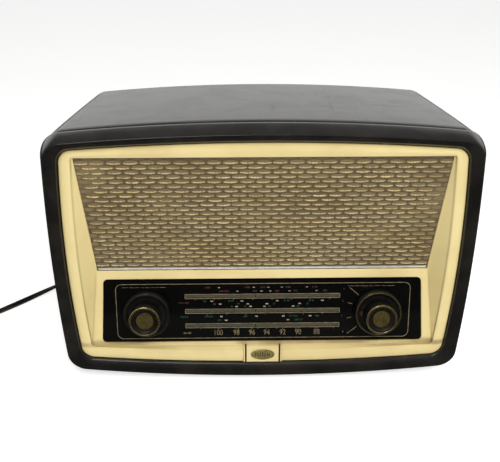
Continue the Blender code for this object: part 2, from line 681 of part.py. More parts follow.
def rounded_oblong(cx, cy, length, height):
    ends = []
    r = height / 2
    for side, start in ((1, -90), (-1, 90)):
        for k in range(4):
            a = math.radians(start + 60 * k)
            ends.append((cx + side * (length / 2 - r) + r * math.cos(a), cy + r * math.sin(a)))
    return ends


def make_feet(rubber):
    for side, name in ((-1, "left"), (1, "right")):
        for depth, where in zip(POST_DEPTHS, ("front", "rear")):
            foot = turned([(0, 0), (8.5, 0), (10, 1.5), (10, FOOT_TOP), (0, FOOT_TOP)], 20)
            add_object(f"foot_{where}_{name}", foot, rubber, at=(side * POST_X, FRONT_Y + depth, 0))


def smooth_route(points, step):
    """Evenly spaced points on a smooth curve through the route's own points."""
    pts = np.array(points, float)
    ahead = np.vstack([2 * pts[0] - pts[1], pts, 2 * pts[-1] - pts[-2]])
    fine = []
    for a, b, c, d in zip(ahead, ahead[1:], ahead[2:], ahead[3:]):
        for t in np.linspace(0, 1, 20, endpoint=False):
            bend = (2 * a - 5 * b + 4 * c - d) * t**2 + (3 * b - a - 3 * c + d) * t**3
            fine.append(0.5 * (2 * b + (c - a) * t + bend))
    fine.append(pts[-1])
    fine = np.array(fine)
    along = np.concatenate([[0], np.cumsum(np.linalg.norm(np.diff(fine, axis=0), axis=1))])
    places = np.linspace(0, along[-1], max(2, round(along[-1] / step) + 1))
    return np.stack([np.interp(places, along, fine[:, k]) for k in range(3)], axis=1)


def add_tube(name, points, radius, material):
    curve = bpy.data.curves.new(name, "CURVE")
    curve.dimensions = "3D"
    curve.bevel_depth = radius * MM
    curve.bevel_resolution = 2
    curve.use_fill_caps = True
    spline = curve.splines.new("POLY")
    spline.points.add(len(points) - 1)
    for point, place in zip(spline.points, points):
        point.co = (place[0] * MM, (FRONT_Y + place[1]) * MM, place[2] * MM, 1)
    curve.materials.append(material)
    obj = bpy.data.objects.new(name, curve)
    bpy.context.scene.collection.objects.link(obj)


def coil_tangent(angle, before):
    """A point beside the coil, a distance before or after the cord touches it at an angle."""
    outer = COIL_MEAN_R + LEAD_PITCH * COIL_TURNS / 4
    x = COIL_CENTRE[0] + outer * math.cos(angle) - before * math.sin(angle)
    y = COIL_CENTRE[1] + outer * math.sin(angle) + before * math.cos(angle)
    return x, y


def make_lead(rubber):
    r = LEAD_D / 2
    reach = COIL_MEAN_R + LEAD_PITCH * COIL_TURNS / 4
    clear = math.sqrt((reach + LEAD_D + GAP) ** 2 - reach**2)
    entry = coil_tangent(COIL_ENTRY, clear)
    route = LEAD_ROUTE + ((*entry, LEAD_Z),)
    add_tube("mains_lead", smooth_route(route, 2.5 * LEAD_D), r, rubber)

    height = 2 * LEAD_D + 0.3
    low, high = COIL_MEAN_R * 2 - reach - r, reach + r
    ring = turned([(low, 0), (high, 0), (high, height), (low, height)], 40)
    add_object("lead_coil", ring, rubber, at=(COIL_CENTRE[0], FRONT_Y + COIL_CENTRE[1], PLUG_BASE))

    leave = COIL_ENTRY - 2 * math.pi * COIL_TURNS
    top = LEAD_Z + LEAD_D
    rise = ((0, top), (8, top + 0.3), (PLUG_REACH, PLUG_Z))
    tail = [(*coil_tangent(leave, -clear - further), z) for further, z in rise]
    add_tube("lead_tail", smooth_route(tail, 2 * LEAD_D), r, rubber)
    return leave, coil_tangent(leave, -clear - PLUG_REACH - GAP)


def make_boot(rubber):
    """The tapered grommet that the lead leaves the back through, its head on the cover."""
    x, z = LEAD_EXIT
    length = BOOT_LENGTH
    boot = [(0, 0), (6.5, 0), (6.5, 3.4), (9.5, 3.6), (9.5, 6.6), (6.8, 7.6), (4.6, length), (0, length)]
    at = (x, FRONT_Y + 198.6, z)
    add_object("lead_grommet", turned(boot, 20), rubber, at=at, turn=(-math.pi / 2, 0, 0))


def make_plug(black, leave, mouth):
    """A three-pin plug on its back, pins up; its own Y runs on from the lead."""
    outline = [(-6, 0), (6, 0), (14, 5), (23, 10), (24, 16), (24, 44), (21, 48)]
    outline += [(-x, y) for x, y in reversed(outline) if abs(x) > 6.5]
    at = (mouth[0], FRONT_Y + mouth[1], PLUG_BASE)
    body = plate(outline, 0, PLUG_THICK)
    plug = add_object("plug", body, black, at=at, turn=(0, 0, leave - math.pi))
    for x, y, wide, length in ((0, 18, 4, 23), (-11, 38, 6, 18), (11, 38, 6, 18)):
        pin = block((wide, 8 if x == 0 else 4, length + 1), (x, y, PLUG_THICK + (length - 1) / 2))
        boolean(plug, add_object("plug_pin", pin, black, parent=plug), "UNION")


def main():
    clear_scene()
    bakelite = finish_material("black_bakelite", (0.012, 0.011, 0.010), 0.22)
    cream = finish_material("cream_moulding", (0.72, 0.60, 0.36), 0.38)
    brass = finish_material("aged_brass", (0.45, 0.35, 0.14), 0.35, 1.0)
    cloth = finish_material("speaker_fabric", (0.42, 0.32, 0.17), 0.8)
    board = finish_material("brown_board", (0.17, 0.09, 0.04), 0.75)
    steel = finish_material("plated_steel", (0.55, 0.54, 0.50), 0.4, 1.0)
    metal = finish_material("bright_aluminium", (0.78, 0.78, 0.77), 0.3, 1.0)
    paper = finish_material("cone_paper", (0.05, 0.045, 0.04), 0.9)
    glass = finish_material("dial_glass", (0.004, 0.004, 0.005), 0.05)
    envelope = finish_material("valve_glass", (0.6, 0.62, 0.62), 0.06)
    ivory = finish_material("ivory_enamel", (0.66, 0.62, 0.50), 0.5)
    red = finish_material("pointer_enamel", (0.30, 0.05, 0.03), 0.4)
    rubber = finish_material("black_rubber", (0.02, 0.02, 0.02), 0.7)
    thread = finish_material("drive_thread", (0.6, 0.55, 0.42), 0.8)

    dial = add_empty("dial_frame", (0, FRONT_Y + DIAL_DEPTH, DIAL_HEIGHT), (math.pi / 2 - DIAL_LEAN, 0, 0))
    fold = (0, FRONT_Y + dial_face_depth(FOLD_HEIGHT), FOLD_HEIGHT)
    grille = add_empty("grille_frame", fold, (math.pi / 2 + GRILLE_SLOPE, 0, 0))

    make_cabinet(bakelite)
    make_front(cream, dial)
    make_badge(cream, brass)
    make_grille(cloth, board, metal, steel, paper, grille)
    make_dial(glass, ivory, red, steel, envelope, dial)
    make_drive_cord(thread, dial)
    make_knobs(bakelite, brass, dial)
    make_shafts(steel, dial)
    make_gang(steel, metal, dial)
    make_controls(steel, board, dial)
    make_chassis(steel)
    make_chassis_top(steel, metal, envelope, bakelite)
    make_rear(board)
    make_feet(rubber)
    make_boot(rubber)
    leave, mouth = make_lead(rubber)
    make_plug(bakelite, leave, mouth)


main()
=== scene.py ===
"""The looks of a tabletop valve radio: glossy black moulded cabinet, dished cream front, woven
speaker cloth, leaning black glass dial, concentric knobs with brass rings, and its mains lead.

Sizes in the functions are in millimetres and become metres in add_piece. X runs to the right of
someone facing the dial, Y to the back and Z up. "depth" is the distance behind the foremost line
of the cabinet's rim, and the dial and the grille each have a frame of their own.
"""

import json
import math

import bmesh
import bpy
import numpy as np
from mathutils import Matrix, Vector


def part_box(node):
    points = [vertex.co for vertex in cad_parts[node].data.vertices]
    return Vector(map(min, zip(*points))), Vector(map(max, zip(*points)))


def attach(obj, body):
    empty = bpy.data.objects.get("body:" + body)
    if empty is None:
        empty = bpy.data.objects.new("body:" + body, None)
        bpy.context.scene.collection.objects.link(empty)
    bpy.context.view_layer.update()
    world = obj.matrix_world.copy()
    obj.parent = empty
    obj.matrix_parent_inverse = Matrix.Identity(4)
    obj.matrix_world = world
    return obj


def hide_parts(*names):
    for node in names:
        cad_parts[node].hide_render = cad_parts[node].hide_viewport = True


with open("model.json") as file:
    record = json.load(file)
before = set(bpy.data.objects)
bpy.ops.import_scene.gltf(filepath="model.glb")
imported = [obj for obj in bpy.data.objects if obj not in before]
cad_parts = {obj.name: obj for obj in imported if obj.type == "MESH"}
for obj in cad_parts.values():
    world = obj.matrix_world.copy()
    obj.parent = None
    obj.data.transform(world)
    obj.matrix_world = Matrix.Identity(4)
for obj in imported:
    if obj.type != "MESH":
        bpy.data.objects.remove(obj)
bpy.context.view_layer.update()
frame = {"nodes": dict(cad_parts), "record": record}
NODES = frame["nodes"]
MM = 0.001

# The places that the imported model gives
BACK_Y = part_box("cabinet_shell")[1].y / MM
BODY_DEPTH = 206.0
FRONT_Y = BACK_Y - BODY_DEPTH
HALF_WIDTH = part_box("cabinet_shell")[1].x / MM
CABINET_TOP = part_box("cabinet_shell")[1].z / MM
CABINET_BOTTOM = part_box("cabinet_shell")[0].z / MM

# The cabinet's and the front's outlines
REAR = (199.0, 272.5, 6.0)
RIM_DEPTH = 24.5
WALL = 3.5
CORNER = 18.0
GRILLE_TOP = 253.4
GRILLE_HALF_TOP = 177.4
FOLD_HEIGHT = 125.8
FOLD_HALF = 169.6
DISH_BOTTOM = 43.0
DISH_HALF_BOTTOM = 179.4

# The dial and the knobs
DIAL_LEAN = math.radians(11.2)
DIAL_HEIGHT = 80.4
DIAL_DEPTH = 15.2
DIAL_FACE_DEPTH = 13.4
DIAL_HALF = 165.0
DIAL_LOW, DIAL_HIGH = -33.2, 36.2
KNOB_X = 119.2
GRILLE_SLOPE = math.atan(0.1314)
DIAL = Matrix.Translation((0, FRONT_Y + DIAL_DEPTH, DIAL_HEIGHT)) @ Matrix.Rotation(
    math.pi / 2 - DIAL_LEAN, 4, "X"
)
FOLD_DEPTH = DIAL_FACE_DEPTH + (FOLD_HEIGHT - DIAL_HEIGHT) * math.tan(DIAL_LEAN)
GRILLE = Matrix.Translation((0, FRONT_Y + FOLD_DEPTH, FOLD_HEIGHT)) @ Matrix.Rotation(
    math.pi / 2 + GRILLE_SLOPE, 4, "X"
)
FRONT = Matrix.Translation((0, FRONT_Y, 0))


# Pieces


def add_piece(name, bm, finish, body="cabinet", at=FRONT, replaces=(), smooth=40):
    """A mesh in millimetres, placed by a matrix in millimetres, riding on a body."""
    bm.transform(at)
    bmesh.ops.scale(bm, vec=(MM, MM, MM), verts=bm.verts)
    mesh = bpy.data.meshes.new(name)
    bm.to_mesh(mesh)
    bm.free()
    mesh.materials.append(finish)
    mesh.shade_smooth()
    mesh.set_sharp_from_angle(angle=math.radians(smooth))
    piece = bpy.data.objects.new(name, mesh)
    bpy.context.scene.collection.objects.link(piece)
    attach(piece, body)
    if replaces:
        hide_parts(*([replaces] if isinstance(replaces, str) else replaces))
    return piece


def soften(piece, width, segments=2):
    """Rounds a piece's sharp edges, by a width in millimetres."""
    bevel = piece.modifiers.new("Softened", "BEVEL")
    bevel.width = width * MM
    bevel.segments = segments
    bevel.limit_method = "ANGLE"
    bevel.angle_limit = math.radians(35)
    bevel.harden_normals = False


def join(*parts):
    """One bmesh from several."""
    whole = bmesh.new()
    for part in parts:
        mesh = bpy.data.meshes.new("joined")
        part.to_mesh(mesh)
        part.free()
        whole.from_mesh(mesh)
        bpy.data.meshes.remove(mesh)
    return whole


def moved(bm, x=0.0, y=0.0, z=0.0):
    bm.transform(Matrix.Translation((x, y, z)))
    return bm


def bridge(bm, first, second):
    """A band of four-sided faces between two equally long loops of vertices."""
    for i in range(len(first)):
        j = (i + 1) % len(first)
        bm.faces.new((first[i], first[j], second[j], second[i]))


def skin(rings, close=True, caps=False):
    """A mesh through equally long rings of points."""
    bm = bmesh.new()
    loops = [[bm.verts.new(point) for point in ring] for ring in rings]
    pairs = list(zip(loops, loops[1:]))
    if close:
        pairs.append((loops[-1], loops[0]))
    if caps:
        bm.faces.new(reversed(loops[0]))
        bm.faces.new(loops[-1])
    for first, second in pairs:
        bridge(bm, first, second)
    bmesh.ops.remove_doubles(bm, verts=bm.verts, dist=0.004)
    bmesh.ops.recalc_face_normals(bm, faces=bm.faces)
    return bm


def turned(profile, sides=96, stretch=1.0, flutes=0, flute_depth=0.0, flute_from=1e9):
    """A shape turned about Z from (radius, height) points, fluted where its radius is large."""
    bm = bmesh.new()
    loops = []
    for radius, height in profile:
        if radius < 0.001:
            loops.append([bm.verts.new((0, 0, height))])
            continue
        ring = []
        for k in range(sides):
            a = 2 * math.pi * k / sides
            r = radius
            if flutes and radius >= flute_from:
                r -= flute_depth * (0.5 + 0.5 * math.cos(flutes * a))
            ring.append(bm.verts.new((r * stretch * math.cos(a), r * math.sin(a), height)))
        loops.append(ring)
    pairs = list(zip(loops, loops[1:]))
    if len(loops[0]) > 1:
        pairs.append((loops[-1], loops[0]))
    for first, second in pairs:
        for i in range(sides):
            j = (i + 1) % sides
            if len(first) == len(second) == 1:
                break
            if len(first) == 1:
                bm.faces.new((first[0], second[i], second[j]))
            elif len(second) == 1:
                bm.faces.new((first[i], first[j], second[0]))
            else:
                bm.faces.new((first[i], first[j], second[j], second[i]))
    bmesh.ops.recalc_face_normals(bm, faces=bm.faces)
    return bm


def plate(outline, low, high, holes=()):
    """A flat plate with holes: the outline and the holes are lists of (x, y)."""
    bm = bmesh.new()
    edges = []
    for loop in (outline, *holes):
        verts = [bm.verts.new((x, y, low)) for x, y in loop]
        edges += [bm.edges.new((a, b)) for a, b in zip(verts, verts[1:] + verts[:1])]
    filled = bmesh.ops.triangle_fill(bm, use_beauty=True, edges=edges, normal=(0, 0, 1))
    faces = [item for item in filled["geom"] if isinstance(item, bmesh.types.BMFace)]
    raised = bmesh.ops.extrude_face_region(bm, geom=faces, use_keep_orig=True)
    lifted = [item for item in raised["geom"] if isinstance(item, bmesh.types.BMVert)]
    bmesh.ops.translate(bm, vec=(0, 0, high - low), verts=lifted)
    bmesh.ops.recalc_face_normals(bm, faces=bm.faces)
    return bm


def block(size, centre=(0, 0, 0)):
    bm = bmesh.new()
    bmesh.ops.create_cube(bm, size=1.0)
    bmesh.ops.scale(bm, vec=size, verts=bm.verts)
    bmesh.ops.translate(bm, vec=centre, verts=bm.verts)
    return bm


def circle(radius, centre=(0.0, 0.0), sides=48):
    angles = [2 * math.pi * k / sides for k in range(sides)]
    return [(centre[0] + radius * math.cos(a), centre[1] + radius * math.sin(a)) for a in angles]


def rounded_box(half_x, low_y, high_y, corner, steps=10):
    points = []
    for cx, cy, start in (
        (half_x - corner, high_y - corner, 0),
        (corner - half_x, high_y - corner, 90),
        (corner - half_x, low_y + corner, 180),
        (half_x - corner, low_y + corner, 270),
    ):
        for k in range(steps + 1):
            a = math.radians(start + 90 * k / steps)
            points.append((cx + corner * math.cos(a), cy + corner * math.sin(a)))
    return points


def tube(points, radius, sides=10):
    """A round tube along points in millimetres, its ends closed."""
    pts = np.array(points, float)
    ahead = np.gradient(pts, axis=0)
    ahead /= np.linalg.norm(ahead, axis=1)[:, None]
    rings = []
    side = np.cross(ahead[0], (0.3, 0.2, 1.0))
    for p, t in zip(pts, ahead):
        side = side - t * side.dot(t)
        side /= np.linalg.norm(side)
        up = np.cross(t, side)
        angles = np.linspace(0, 2 * math.pi, sides, endpoint=False)
        rings.append([tuple(p + radius * (math.cos(a) * side + math.sin(a) * up)) for a in angles])
    return skin(rings, close=False, caps=True)


# Finishes: shared effects as node groups


def build_group(name, inputs, outputs, build):
    """A shader node group with named number inputs and outputs, filled in by build(tree, source, drain)."""
    tree = bpy.data.node_groups.new(name, "ShaderNodeTree")
    for label, value in inputs.items():
        socket = tree.interface.new_socket(label, in_out="INPUT", socket_type="NodeSocketFloat")
        socket.default_value = value
    for label in outputs:
        tree.interface.new_socket(label, in_out="OUTPUT", socket_type="NodeSocketFloat")
    source = tree.nodes.new("NodeGroupInput")
    drain = tree.nodes.new("NodeGroupOutput")
    build(tree, source.outputs, drain.inputs)
    return tree


def add_node(tree, kind, inputs=None, **settings):
    """A node with its settings, and its inputs set to numbers or linked from sockets."""
    node = tree.nodes.new("ShaderNode" + kind)
    for key, value in settings.items():
        setattr(node, key, value)
    for key, value in (inputs or {}).items():
        socket = node.inputs[key]
        if isinstance(value, bpy.types.NodeSocket):
            tree.links.new(value, socket)
        else:
            socket.default_value = value
    return node


def math_node(tree, operation, a, b=0.0, clamp=False):
    return add_node(tree, "Math", {0: a, 1: b}, operation=operation, use_clamp=clamp).outputs[0]


def spread(tree, value, low, high, to_low=0.0, to_high=1.0):
    """A value between two limits stretched smoothly over a new range."""
    sockets = {"Value": value, "From Min": low, "From Max": high, "To Min": to_low, "To Max": to_high}
    return add_node(tree, "MapRange", sockets, interpolation_type="SMOOTHSTEP").outputs[0]


def place(tree):
    return add_node(tree, "TexCoord").outputs["Object"]


def noise(tree, vector, scale, detail=3.0, roughness=0.55):
    sockets = {"Vector": vector, "Scale": scale, "Detail": detail, "Roughness": roughness}
    return add_node(tree, "TexNoise", sockets).outputs["Fac"]


def stretched(tree, vector, x, y, z):
    return add_node(tree, "Mapping", {"Vector": vector, "Scale": (x, y, z)}).outputs[0]


def build_mottle(tree, source, drain):
    value = noise(tree, place(tree), source["Scale"])
    tree.links.new(spread(tree, value, source["From"], source["To"]), drain["Mask"])


def build_scuffs(tree, source, drain):
    """Fine wiping marks that run across, mixed with short ones that run back."""
    across = noise(tree, stretched(tree, place(tree), 0.12, 1.0, 1.0), source["Scale"], 4.0)
    back = noise(tree, stretched(tree, place(tree), 1.3, 0.15, 0.5), source["Scale"], 4.0)
    both = math_node(tree, "MAXIMUM", across, back)
    cloud = spread(tree, noise(tree, place(tree), 9.0), 0.4, 0.7)
    mask = math_node(tree, "MULTIPLY", spread(tree, both, 0.56, 0.78), cloud)
    tree.links.new(math_node(tree, "MULTIPLY", mask, source["Amount"], clamp=True), drain["Mask"])


def build_dust(tree, source, drain):
    """Dust that settles on what faces up."""
    normal = add_node(tree, "NewGeometry").outputs["Normal"]
    up = add_node(tree, "SeparateXYZ", {0: normal}).outputs["Z"]
    cloud = spread(tree, noise(tree, place(tree), source["Scale"], 5.0), 0.3, 0.75, 0.35, 1.0)
    lying = math_node(tree, "MULTIPLY", spread(tree, up, 0.25, 0.95), cloud)
    tree.links.new(math_node(tree, "MULTIPLY", lying, source["Amount"], clamp=True), drain["Mask"])


def build_wear(tree, source, drain):
    """Rubbing on edges that stand out, broken up by noise."""
    pointed = add_node(tree, "NewGeometry").outputs["Pointiness"]
    cloud = noise(tree, place(tree), source["Scale"], 4.0)
    edge = spread(tree, pointed, 0.505, 0.56)
    mask = math_node(tree, "MULTIPLY", edge, spread(tree, cloud, 0.42, 0.66))
    tree.links.new(math_node(tree, "MULTIPLY", mask, source["Amount"], clamp=True), drain["Mask"])


def build_chips(tree, source, drain):
    """A few pin-head chips, one in many cells of a scattered pattern."""
    cells = {"Vector": place(tree), "Scale": source["Scale"], "Randomness": 1.0}
    voronoi = add_node(tree, "TexVoronoi", cells, feature="F1")
    picked = add_node(tree, "SeparateColor", {0: voronoi.outputs["Color"]}).outputs[0]
    near = math_node(tree, "LESS_THAN", voronoi.outputs["Distance"], source["Size"])
    rare = math_node(tree, "GREATER_THAN", picked, source["Rarity"])
    tree.links.new(math_node(tree, "MULTIPLY", near, rare), drain["Mask"])


def build_grain(tree, source, drain):
    """A fine unevenness of height, with a slower one under it."""
    fine = noise(tree, place(tree), source["Scale"], 2.0)
    slow = noise(tree, place(tree), 45.0, 2.0)
    tree.links.new(math_node(tree, "ADD", fine, math_node(tree, "MULTIPLY", slow, 1.5)), drain["Height"])


def build_hopsack(tree, source, drain):
    """Fine crossed threads."""
    parts = add_node(tree, "SeparateXYZ", {0: place(tree)}).outputs
    wave_x = math_node(tree, "SINE", math_node(tree, "MULTIPLY", parts["X"], source["Scale"]))
    wave_z = math_node(tree, "SINE", math_node(tree, "MULTIPLY", parts["Z"], source["Scale"]))
    weave = math_node(tree, "MULTIPLY", wave_x, wave_z)
    ragged = math_node(tree, "MULTIPLY", noise(tree, place(tree), 900.0, 2.0), 1.2)
    tree.links.new(math_node(tree, "ADD", weave, ragged), drain["Height"])


MOTTLE = build_group("mottled_patches", {"Scale": 60.0, "From": 0.4, "To": 0.65}, ["Mask"], build_mottle)
SCUFFS = build_group("wiping_scuffs", {"Scale": 120.0, "Amount": 0.5}, ["Mask"], build_scuffs)
DUST = build_group("settled_dust", {"Scale": 40.0, "Amount": 0.3}, ["Mask"], build_dust)
WEAR = build_group("rubbed_edges", {"Scale": 90.0, "Amount": 0.5}, ["Mask"], build_wear)
CHIPS = build_group("pin_head_chips", {"Scale": 60.0, "Size": 0.06, "Rarity": 0.9}, ["Mask"], build_chips)
GRAIN = build_group("fine_grain", {"Scale": 700.0}, ["Height"], build_grain)
HOPSACK = build_group("crossed_threads", {"Scale": 5200.0}, ["Height"], build_hopsack)


def use(tree, group, **values):
    node = tree.nodes.new("ShaderNodeGroup")
    node.node_tree = group
    for key, value in values.items():
        node.inputs[key].default_value = value
    return node.outputs[0]


def mix_colour(tree, mask, first, second):
    node = add_node(tree, "Mix", data_type="RGBA")
    for socket, value in ((node.inputs[0], mask), (node.inputs[6], first), (node.inputs[7], second)):
        if isinstance(value, bpy.types.NodeSocket):
            tree.links.new(value, socket)
        else:
            socket.default_value = (*value, 1.0) if isinstance(value, tuple) else value
    return node.outputs[2]


def new_finish(name, **shader_values):
    """A material with only its shader, and the tree to add to."""
    finish = bpy.data.materials.new(name)
    finish.use_nodes = True
    shader = finish.node_tree.nodes["Principled BSDF"]
    for key, value in shader_values.items():
        shader.inputs[key.replace("_", " ")].default_value = value
    return finish, finish.node_tree, shader.inputs


def bump(tree, shader, height, distance, strength=0.5):
    sockets = {"Height": height, "Distance": distance * MM, "Strength": strength}
    tree.links.new(add_node(tree, "Bump", sockets).outputs[0], shader["Normal"])


def finish_of(
    name,
    light,
    dark,
    rough,
    patches=60.0,
    dust=0.0,
    wear=0.0,
    bare=(0.5, 0.5, 0.5),
    scuffs=0.0,
    grain=700.0,
    relief=0.02,
    **shader_values,
):
    """A surface of two mixed colours with dust, worn edges, scuffs and grain."""
    finish, tree, shader = new_finish(name, **shader_values)
    mottle = use(tree, MOTTLE, Scale=patches)
    colour = mix_colour(tree, mottle, light, dark)
    roughness = spread(tree, mottle, 0.0, 1.0, rough[0], rough[1])
    if wear:
        colour = mix_colour(tree, use(tree, WEAR, Amount=wear), colour, bare)
    if scuffs:
        marks = use(tree, SCUFFS, Amount=scuffs)
        roughness = math_node(tree, "ADD", roughness, math_node(tree, "MULTIPLY", marks, 0.25), clamp=True)
    if dust:
        film = use(tree, DUST, Amount=dust)
        colour = mix_colour(tree, film, colour, (0.34, 0.31, 0.26))
        roughness = math_node(tree, "ADD", roughness, math_node(tree, "MULTIPLY", film, 0.5), clamp=True)
    tree.links.new(colour, shader["Base Color"])
    tree.links.new(roughness, shader["Roughness"])
    bump(tree, shader, use(tree, GRAIN, Scale=grain), relief)
    return finish


def make_bakelite():
    """Black moulding: scuffed gloss, a film of dust on top and a few white chips."""
    finish, tree, shader = new_finish("black_bakelite", IOR=1.62)
    mottle = use(tree, MOTTLE, Scale=30.0)
    colour = mix_colour(tree, mottle, (0.006, 0.0055, 0.005), (0.013, 0.011, 0.009))
    colour = mix_colour(tree, use(tree, DUST, Scale=26.0, Amount=0.05), colour, (0.30, 0.28, 0.27))
    colour = mix_colour(tree, use(tree, CHIPS, Scale=26.0, Size=0.022, Rarity=0.93), colour, (0.6, 0.57, 0.5))
    marks = use(tree, SCUFFS, Scale=90.0, Amount=1.0)
    roughness = spread(tree, mottle, 0.0, 1.0, 0.20, 0.235)
    roughness = math_node(tree, "ADD", roughness, math_node(tree, "MULTIPLY", marks, 0.10), clamp=True)
    tree.links.new(colour, shader["Base Color"])
    tree.links.new(roughness, shader["Roughness"])
    bump(tree, shader, use(tree, GRAIN, Scale=380.0), 0.02, 0.35)
    return finish


def make_cream():
    """Yellowed cream moulding: brown grime mixed with painted shade in the hollow under the dial, painted
    shade along the lip's outer roll at the sides and in the creases, and dark specks.
    """
    finish, tree, shader = new_finish("cream_moulding", IOR=1.5)
    at = add_node(tree, "SeparateXYZ", {0: place(tree)}).outputs
    mottle = use(tree, MOTTLE, Scale=14.0)
    colour = mix_colour(tree, mottle, (0.76, 0.63, 0.30), (0.70, 0.56, 0.26))
    # Hollow under the dial: brown grime mixed with painted shade, broken into blotches.
    low = spread(tree, at["Z"], 0.0435, 0.0465)
    high = spread(tree, at["Z"], 0.0525, 0.048)
    hollow = math_node(tree, "MULTIPLY", low, high)
    blotches = noise(tree, stretched(tree, place(tree), 1.0, 0.3, 0.3), 16.0, 3.0)
    grime_and_shade = math_node(tree, "MULTIPLY", hollow, spread(tree, blotches, 0.42, 0.68, 0.15, 0.95))
    colour = mix_colour(tree, math_node(tree, "MULTIPLY", grime_and_shade, 0.75), colour, (0.22, 0.15, 0.05))
    geometry = add_node(tree, "NewGeometry").outputs
    # Painted shade: the sideways-facing outer roll of the lip at the very front is darkened to stand in for
    # its shading.
    outward = math_node(tree, "ABSOLUTE", add_node(tree, "SeparateXYZ", {0: geometry["Normal"]}).outputs["X"])
    edge = math_node(tree, "MULTIPLY", spread(tree, outward, 0.60, 0.97),
        spread(tree, at["Y"], -0.0885, -0.0905))
    colour = mix_colour(tree, math_node(tree, "MULTIPLY", edge, 0.75), colour, (0.13, 0.10, 0.04))
    # Painted shade darkening the concave creases, found by low pointiness.
    crease_shade = spread(tree, geometry["Pointiness"], 0.497, 0.470)
    colour = mix_colour(tree, math_node(tree, "MULTIPLY", crease_shade, 0.35), colour, (0.36, 0.26, 0.10))
    specks = use(tree, CHIPS, Scale=55.0, Size=0.05, Rarity=0.95)
    colour = mix_colour(tree, math_node(tree, "MULTIPLY", specks, 0.5), colour, (0.30, 0.20, 0.08))
    tree.links.new(colour, shader["Base Color"])
    tree.links.new(spread(tree, mottle, 0.0, 1.0, 0.30, 0.42), shader["Roughness"])
    bump(tree, shader, use(tree, GRAIN, Scale=300.0), 0.03, 0.3)
    return finish


def make_cloth_finish():
    """Olive fabric: brown in the gaps between its floats where the warp shows, deepened there by painted
    shade, greyer on top, with two faint darker patches and a painted shadow along the top edge.
    """
    finish, tree, shader = new_finish("speaker_fabric", Sheen_Weight=0.25, Sheen_Roughness=0.5)
    raised = add_node(tree, "Attribute", attribute_name="float_height", attribute_type="GEOMETRY")
    height = raised.outputs["Fac"]
    # Brown where the warp shows between floats, with painted shade deepening these hollows by float height.
    colour = mix_colour(tree, spread(tree, height, 0.05, 0.75), (0.100, 0.062, 0.020), (0.205, 0.163, 0.084))
    threads = use(tree, HOPSACK)
    colour = mix_colour(tree, spread(tree, threads, -0.2, 1.4, 0.45, 0.0), colour, (0.105, 0.075, 0.030))
    colour = mix_colour(tree, use(tree, MOTTLE, Scale=18.0, From=0.5, To=0.8), colour, (0.21, 0.155, 0.07))
    at = add_node(tree, "SeparateXYZ", {0: place(tree)}).outputs
    # Two faint darker patches on the cloth.
    for x, z, size in ((-0.062, 0.212, 0.040), (0.045, 0.196, 0.052)):
        dx = math_node(tree, "SUBTRACT", at["X"], x)
        dz = math_node(tree, "SUBTRACT", at["Z"], z)
        away = math_node(tree, "POWER", math_node(tree, "ADD", math_node(tree, "POWER", dx, 2.0),
                         math_node(tree, "POWER", math_node(tree, "MULTIPLY", dz, 1.4), 2.0)), 0.5)
        darker_patch = spread(tree, away, size, size * 0.2, 0.0, 0.42)
        colour = mix_colour(tree, darker_patch, colour, (0.10, 0.07, 0.03))
    shade = spread(tree, at["Z"], 0.2485, 0.2525, 0.0, 0.75)
    colour = mix_colour(tree, shade, colour, (0.07, 0.05, 0.02))
    tree.links.new(colour, shader["Base Color"])
    tree.links.new(spread(tree, threads, -1.0, 1.5, 0.95, 0.6), shader["Roughness"])
    bump(tree, shader, threads, 0.12, 0.7)
    return finish


def make_gilt_thread():
    """Twisted gold thread: near-white patches are painted glints among duller gold patches."""
    finish, tree, shader = new_finish("gilt_thread", Metallic=0.15, Sheen_Weight=0.3)
    # Painted glints: the near-white colour stands in for highlights on the twisted thread.
    patches = use(tree, MOTTLE, Scale=300.0, From=0.35, To=0.7)
    colour = mix_colour(tree, patches, (1.0, 0.84, 0.46), (0.34, 0.235, 0.085))
    colour = mix_colour(tree, use(tree, MOTTLE, Scale=22.0, From=0.5, To=0.75), colour, (0.40, 0.29, 0.12))
    tree.links.new(colour, shader["Base Color"])
    tree.links.new(spread(tree, patches, 0.0, 1.0, 0.22, 0.5), shader["Roughness"])
    bump(tree, shader, use(tree, GRAIN, Scale=2500.0), 0.05, 0.6)
    return finish


def make_dial_black():
    """Black enamel behind glass: a clean gloss with a breath of dust."""
    finish, tree, shader = new_finish("black_dial_glass", IOR=1.52)
    film = use(tree, SCUFFS, Scale=60.0, Amount=0.35)
    colour = mix_colour(tree, film, (0.0022, 0.0022, 0.0022), (0.012, 0.012, 0.010))
    tree.links.new(colour, shader["Base Color"])
    tree.links.new(spread(tree, film, 0.0, 1.0, 0.04, 0.16), shader["Roughness"])
    bump(tree, shader, use(tree, GRAIN, Scale=60.0), 0.01, 0.1)
    return finish


def make_window_glass():
    finish, tree, shader = new_finish("window_glass", IOR=1.5)
    film = use(tree, SCUFFS, Scale=90.0, Amount=0.6)
    tree.links.new(mix_colour(tree, film, (0.085, 0.082, 0.058), (0.17, 0.16, 0.115)), shader["Base Color"])
    tree.links.new(spread(tree, film, 0.0, 1.0, 0.05, 0.25), shader["Roughness"])
    tree.links.new(spread(tree, film, 0.0, 1.0, 0.45, 0.65), shader["Alpha"])
    return finish


def make_valve_glass():
    finish, tree, shader = new_finish("valve_glass", IOR=1.5, Transmission_Weight=0.9)
    smoke = use(tree, MOTTLE, Scale=40.0)
    tree.links.new(mix_colour(tree, smoke, (0.92, 0.94, 0.94), (0.55, 0.56, 0.56)), shader["Base Color"])
    tree.links.new(spread(tree, smoke, 0.0, 1.0, 0.03, 0.12), shader["Roughness"])
    return finish


